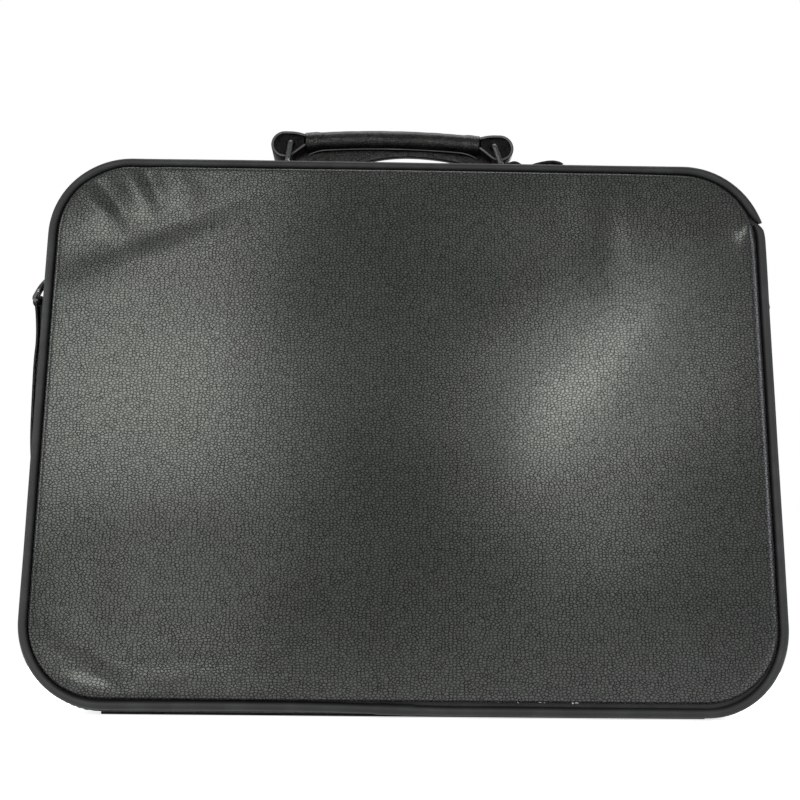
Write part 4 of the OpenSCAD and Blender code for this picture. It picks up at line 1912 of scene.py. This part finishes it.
@dataclass
class StrapRings:
    """A wire ring in a folded and riveted tab on each side: the left bows out, the right is flat.

    bow holds how far the left tab's slack layer stands off the case, and how far below the ring.
    """

    shape: CaseShape
    ring_z: float = 227.0
    ramp: float = 38.0
    flat: float = 20.0
    width: float = 18.0
    left_rise: float = 10.0
    right_rise: float = 5.0
    pinch: float = 0.45
    pinch_low: float = 16.0
    pinch_run: float = 12.0
    layer_t: float = 1.6
    stitch_in: float = 2.2
    stitch_out: float = 0.85
    bow: tuple[Pair, ...] = (
        (10.4, -3),
        (9.2, -10),
        (8.0, -24),
        (8.6, -35),
        (8.0, -57),
        (7.0, -85),
        (3.5, -107),
        (1.4, -122),
    )

    def build(self) -> None:
        """Makes both tabs and dresses rings and rivets."""
        reach = self.shape.width / 2 + self.shape.bulge
        for side, rise in ((Side.LEFT, self.left_rise), (Side.RIGHT, self.right_rise)):
            name, sign = side.value, side.sign
            tab = RivetedStrap(
                self.shape,
                node=f"side_tab_{name}",
                name=f"strap_tab_{name}",
                rise=rise,
                ramp=self.ramp,
                flat=self.flat,
                width=self.width,
            )
            tab.build(
                lambda along, up: (sign * (reach + up), self.ring_z - along),
                lambda along, up: (sign * up, -along),
            )
            reshape(bpy.data.objects[tab.name], self.narrow)
            dress_node(f"dee_ring_{name}", RING_STEEL)
        dress_node("side_rivets", RIVET_STEEL)
        dress_node("side_washers", PLATE_STEEL)
        self.bowed_layer(-reach)

    def narrow(self, co: np.ndarray) -> np.ndarray:
        """Draws a tab in across its width where it goes round the ring.

        Args:
            co: the tab's places, in metres.

        Returns:
            The narrowed places.
        """
        above = co[:, 2] / MM - self.ring_z + self.pinch_low
        share = np.clip(above / self.pinch_run, 0, 1)
        middle = self.shape.carry * MM
        moved = co.copy()
        moved[:, 1] = middle + (co[:, 1] - middle) * (1 - self.pinch * share)
        return moved

    def bowed_layer(self, face: float) -> None:
        """The slack outer layer of the left tab, which stands off the case below the ring.

        Args:
            face: where the side of the case lies along X.
        """
        carry = self.shape.carry
        path = Path.through([(face - off, self.ring_z + below) for off, below in self.bow], -1)
        layer = path.strap("strap_tab_bowed_layer", slab(self.width, self.layer_t, carry), 1.5)
        place_piece(settle(layer, 50), STRAP_LEATHER, "tub", "leatherette")
        apart = self.width / 2 - self.stitch_in
        name = "strap_tab_bowed_stitches"
        sewn = STRAP_SEAM.pair(name, 4.0, path.length - 8, carry, apart, self.stitch_out)
        place_piece(settle(path.lay(sewn), 50), DARK_THREAD, "tub", "webbing")


@dataclass
class Interior:
    """Lining in both halves, a flat pocket in the lid and a holding strap in the tub."""

    shape: CaseShape
    front: float = 29.4
    pocket_w: float = 300.0
    pocket_h: float = 165.0
    pocket_z: float = 53.0
    hem_h: float = 14.0
    hem_t: float = 1.6
    gathers: float = 0.62
    slack: float = 0.4
    slack_run: float = 25.0
    pocket_t: float = 0.5
    pocket_slack: float = 0.7
    pocket_edge: float = 14.0

    def build(self) -> None:
        """Makes the linings, the pocket with its hem, and the straps."""
        for half in Half:
            self.lining(half)
            dress_node(f"{half.value}_board", PULP_BOARD)
        self.pocket()
        for part in ("under", "over"):
            band = eased_copy(f"hold_strap_{part}", f"hold_strap_{part}_webbing", 0.4)
            place_piece(band, WEBBING_WEAVE, "tub", "webbing", f"hold_strap_{part}")

    def hang(self, co: np.ndarray) -> np.ndarray:
        """Lets the flat of a lining ripple a little, standing in from its board.

        Args:
            co: the sheet's places, with the distance from its edge in Y.

        Returns:
            The same places, with the distance from mid-depth in Y.
        """
        x, edge, z = co.T
        loose = self.slack * np.clip(edge / self.slack_run, 0, 1)
        ripple = np.sin(x / 19 + 0.6 * np.sin(z / 37)) * np.sin(z / 29 + 0.8 * np.sin(x / 53))
        return np.column_stack([x, self.front - loose * (1 + 0.35 * ripple), z])

    def lining(self, half: Half) -> None:
        """A flat sheet with a wall sewn to it that runs to the zip tape.

        Args:
            half: the half that it lines.
        """
        s, name = self.shape, half.value
        inset = s.drop + s.wall
        flat = s.sheet(f"{name}_lining_flat", inset, (0, 2, 5, 9), 7.0)
        reshape(flat, lambda co: self.hang(co) * (1, half.facing, 1))
        modify(flat, "SOLIDIFY", thickness=s.lining, offset=half.facing)
        end = s.reveal + s.tape_lap + 0.3 - half.facing * s.zip_line
        top = s.bulge - s.wall
        corner = (s.seam - s.flat) / (s.bulge + s.drop)
        knee = -inset + (s.seam - self.front) / corner
        outer = [(self.front, knee), (s.flat, top), (end, top)]
        inner = [(f, n - s.lining) for f, n in outer[::-1]]
        section = [(half.facing * f, n) for f, n in outer + inner]
        wall = strip(f"{name}_lining_wall", section, 0.0, s.perimeter, 6.0, True)
        merge_seam(s.outline().lay(wall))
        cloth = settle(joined(f"{name}_lining_cloth", [flat, wall]), 50)
        place_piece(cloth, LINING_WEAVE, name, "lining", f"{name}_lining")

    def pocket(self) -> None:
        """A slack pocket on the lid's lining, gathered by an elastic hem."""
        deselect()
        bpy.ops.mesh.primitive_grid_add(x_subdivisions=150, y_subdivisions=60, size=2)
        sheet = named("lid_pocket_cloth")
        reshape(sheet, self.slacken)
        modify(sheet, "SOLIDIFY", thickness=self.pocket_t, offset=0.0)
        place_piece(settle(sheet, 50), LINING_WEAVE, "lid", "lining", "lid_pocket")
        low, half_t = self.pocket_z + self.pocket_h, self.hem_t / 2
        oval = [
            (
                -self.front + 1.0 + half_t * math.cos(a),
                low + self.hem_h / 2 * (1 + math.sin(a) * 0.98),
            )
            for a in np.linspace(0, 2 * math.pi, 17)[:-1]
        ]
        hem = strip("lid_pocket_elastic", oval, -self.pocket_w / 2, self.pocket_w, 0.8)
        reshape(hem, self.gather)
        place_piece(settle(hem, 60), WEBBING_WEAVE, "lid", "webbing", "lid_pocket_hem")

    def slacken(self, co: np.ndarray) -> np.ndarray:
        """Hangs the pocket's sheet on the lining, slack in its middle and gathered at its top.

        Args:
            co: an even grid's places.

        Returns:
            The pocket's places.
        """
        half_w = self.pocket_w / 2
        u, v = co[:, 0], (co[:, 1] + 1) / 2
        edge = np.minimum((1 - np.abs(u)) * half_w, v * self.pocket_h)
        loose = self.pocket_slack * np.minimum(edge / self.pocket_edge, 1)
        gathers = 0.35 * np.sin(u * half_w / 1.1 + 0.9 * np.sin(u * 17))
        gathers *= np.clip(v * 3 - 1.6, 0, 1)
        belly = 1.0 + 0.5 * np.sin(u * 5 + 1) * np.sin(v * 4)
        y = -self.front + 0.15 + loose * (belly + gathers)
        return np.column_stack([u * half_w, y, self.pocket_z + v * self.pocket_h])

    def gather(self, co: np.ndarray) -> np.ndarray:
        """Puckers the open face of the elastic hem.

        Args:
            co: the plain hem's places.

        Returns:
            The puckered places.
        """
        moved = co.copy()
        face = np.clip((co[:, 1] + self.front - 0.6) / 0.8, 0, 1)
        moved[:, 1] += 0.2 * np.sin(co[:, 0] / self.gathers) * face
        return moved


@dataclass
class Wear:
    """Ragged tufts of pale fibre in the lid's bottom groove where its seam has rubbed through.

    tufts holds how far along the outline each stands, and its width and height.
    """

    shape: CaseShape
    groove: float = 5.6
    front: float = 34.4
    deep: float = 0.8
    tufts: tuple[Triple, ...] = (
        (48, 1.0, 0.8),
        (51.5, 1.2, 0.8),
        (58, 1.0, 0.7),
        (69.5, 2.2, 1.5),
        (71.5, 1.0, 1.2),
        (86, 1.8, 1.4),
        (88, 2.6, 2.2),
    )

    def build(self) -> None:
        """Places the tufts along the rubbed stretch."""
        made = []
        for number in range(len(self.tufts)):
            deselect()
            bpy.ops.mesh.primitive_ico_sphere_add(subdivisions=2, radius=1.0)
            tuft = named(f"tuft_{number}")
            reshape(tuft, lambda co: self.ragged(co, number))
            made.append(tuft)
        fibres = self.shape.outline().lay(joined("lid_frayed_fibres", made))
        place_piece(settle(fibres, 30), FRAYED_THREAD, "lid", "webbing")

    def ragged(self, co: np.ndarray, number: int) -> np.ndarray:
        """Draws a ball out to a ragged tuft and puts it in its place.

        Args:
            co: the ball's places.
            number: which tuft it is.

        Returns:
            The tuft's places.
        """
        along, wide, tall = self.tufts[number]
        x, y, z = co.T
        spike = 0.55 + 0.45 * np.sin(7.1 * x + 3 * number) * np.sin(9.3 * z + 5 * y + number)
        size = np.array([wide / 2, self.deep, tall / 2])
        out = 0.2 * math.sin(4.0 * number) - self.groove
        return co * spike[:, None] * size + np.array([along, -self.front, out])


@dataclass(frozen=True)
class Lamp:
    """A soft rectangular lamp: places and sizes in metres, power in watts, turn in degrees."""

    name: str
    place: Triple
    aim: Triple
    size: Pair
    power: float
    colour: str = "#fbfff6"
    turn: float = 0.0

    def hang(self) -> None:
        """Hangs the lamp and points it."""
        deselect()
        bpy.ops.object.light_add(type="AREA", location=self.place)
        lamp = named(self.name)
        look = (Vector(self.aim) - Vector(self.place)).to_track_quat("-Z", "Y").to_matrix()
        turned = look @ Matrix.Rotation(math.radians(self.turn), 3, "Z")
        lamp.rotation_euler = turned.to_euler()
        lamp.data.shape = "RECTANGLE"
        lamp.data.size, lamp.data.size_y = self.size
        lamp.data.energy = self.power
        lamp.data.color = hex_colour(self.colour)[:3]


# The first five lie mirrored in the lid's panel, and give it its broad highlights.
LAMPS = (
    Lamp("left_softbox", (-0.4, -1.0, 0.375), (-0.15, 0, 0.17), (0.4, 0.34), 3.6),
    Lamp("right_strip", (0.31, -1.0, 0.419), (0.1, 0, 0.185), (0.042, 0.26), 2.2, turn=-46),
    Lamp("low_right_card", (0.295, -1.0, 0.215), (0.1, 0, 0.11), (0.24, 0.2), 0.5),
    Lamp("high_left_card", (-0.36, -1.0, 0.69), (-0.14, 0, 0.29), (0.24, 0.1), 1.0),
    Lamp("low_left_card", (-0.34, -1.0, -0.01), (-0.13, 0, 0.024), (0.24, 0.06), 0.55),
    Lamp("left_window", (-1.3, -0.55, 0.5), (-0.1, 0, 0.15), (0.5, 0.8), 8.0, "#fbfdff"),
    Lamp("right_window", (1.3, -0.6, 0.4), (0.1, 0, 0.15), (0.6, 0.6), 6.0, "#edf0ff"),
    Lamp("top_softbox", (0.0, 0.1, 1.5), (0, 0, 0.2), (1.2, 0.6), 7.0, "#ffffff"),
    Lamp("back_softbox", (0.5, 1.4, 0.9), (0, 0, 0.15), (1.0, 1.0), 14.0, "#ffffff"),
)


@dataclass
class Studio:
    """White floor, soft light and the photograph's camera."""

    focal: float = 49.5
    sensor: float = 36.0
    eye: Triple = (-11.4, -614.8, 44.7)
    pitch: float = 11.75
    yaw: float = -0.75
    roll: float = -0.55
    floor_size: float = 1.0
    floor_back: float = 0.15
    floor_glow: float = 0.75
    ambient: float = 0.8

    def build(self) -> None:
        """Sets up floor, surroundings, lamps and camera."""
        bpy.context.scene.view_settings.view_transform = "Standard"
        self.floor()
        self.surroundings()
        for lamp in LAMPS:
            lamp.hang()
        self.camera()

    def floor(self) -> None:
        """A plain white floor that isn't part of the object."""
        deselect()
        bpy.ops.mesh.primitive_plane_add(size=self.floor_size)
        floor = named("studio_floor")
        reshape(floor, lambda co: co + np.array([0, self.floor_back, 0]))
        paint = bpy.data.materials.new("white_studio_floor")
        paint.use_nodes = True
        shader = paint.node_tree.nodes["Principled BSDF"]
        shader.inputs["Base Color"].default_value = hex_colour("#f4f4f4")
        shader.inputs["Roughness"].default_value = 0.9
        shader.inputs["Emission Color"].default_value = (1, 1, 1, 1)
        shader.inputs["Emission Strength"].default_value = self.floor_glow
        floor.data.materials.append(paint)

    def surroundings(self) -> None:
        """White to look at, dimmer as a light."""
        world = bpy.data.worlds.new("studio")
        bpy.context.scene.world = world
        world.use_nodes = True
        tree = world.node_tree
        tree.nodes.clear()
        seen = add_node(tree, "Background", {"Color": (1, 1, 1, 1), "Strength": 1.0})
        grey = {"Color": hex_colour("#eef2ee"), "Strength": self.ambient}
        dim = add_node(tree, "Background", grey)
        direct = add_node(tree, "LightPath", out="Is Camera Ray")
        both = add_node(tree, "MixShader", {0: direct, 1: dim, 2: seen})
        add_node(tree, "OutputWorld", {"Surface": both})

    def camera(self) -> None:
        """Sets the camera where the photograph was taken from."""
        deselect()
        bpy.ops.object.camera_add()
        camera = named("photo_camera")
        camera.data.lens = self.focal
        camera.data.sensor_width = self.sensor
        camera.data.clip_start = 0.01
        turned = (
            Matrix.Rotation(math.radians(self.yaw), 3, "Z")
            @ Matrix.Rotation(math.radians(self.pitch), 3, "X")
            @ Matrix.Rotation(math.radians(self.roll), 3, "Y")
        )
        right, ahead, up = turned.col[0], turned.col[1], turned.col[2]
        axes = Matrix((right, up, -ahead)).transposed()
        camera.matrix_world = Matrix.Translation(Vector(self.eye) * MM) @ axes.to_4x4()
        bpy.context.scene.camera = camera


def main() -> None:
    logging.basicConfig(level=logging.INFO, format="%(name)s: %(message)s")
    shape = CaseShape()
    Studio().build()
    PaddedPanel(shape, Half.LID, LID_CREASES, soft_right=3.2).build()
    PaddedPanel(shape, Half.TUB, TUB_CREASES).build()
    Piping(shape, Half.LID, sag=1.8, tear=447.5).build()
    Piping(shape, Half.TUB).build()
    for half in Half:
        Gusset(shape, half).build()
    ZipFastener(shape).build()
    Base(shape).build()
    Handle(shape).build()
    StrapRings(shape).build()
    Interior(shape).build()
    Wear(shape).build()


if __name__ == "__main__":
    main()
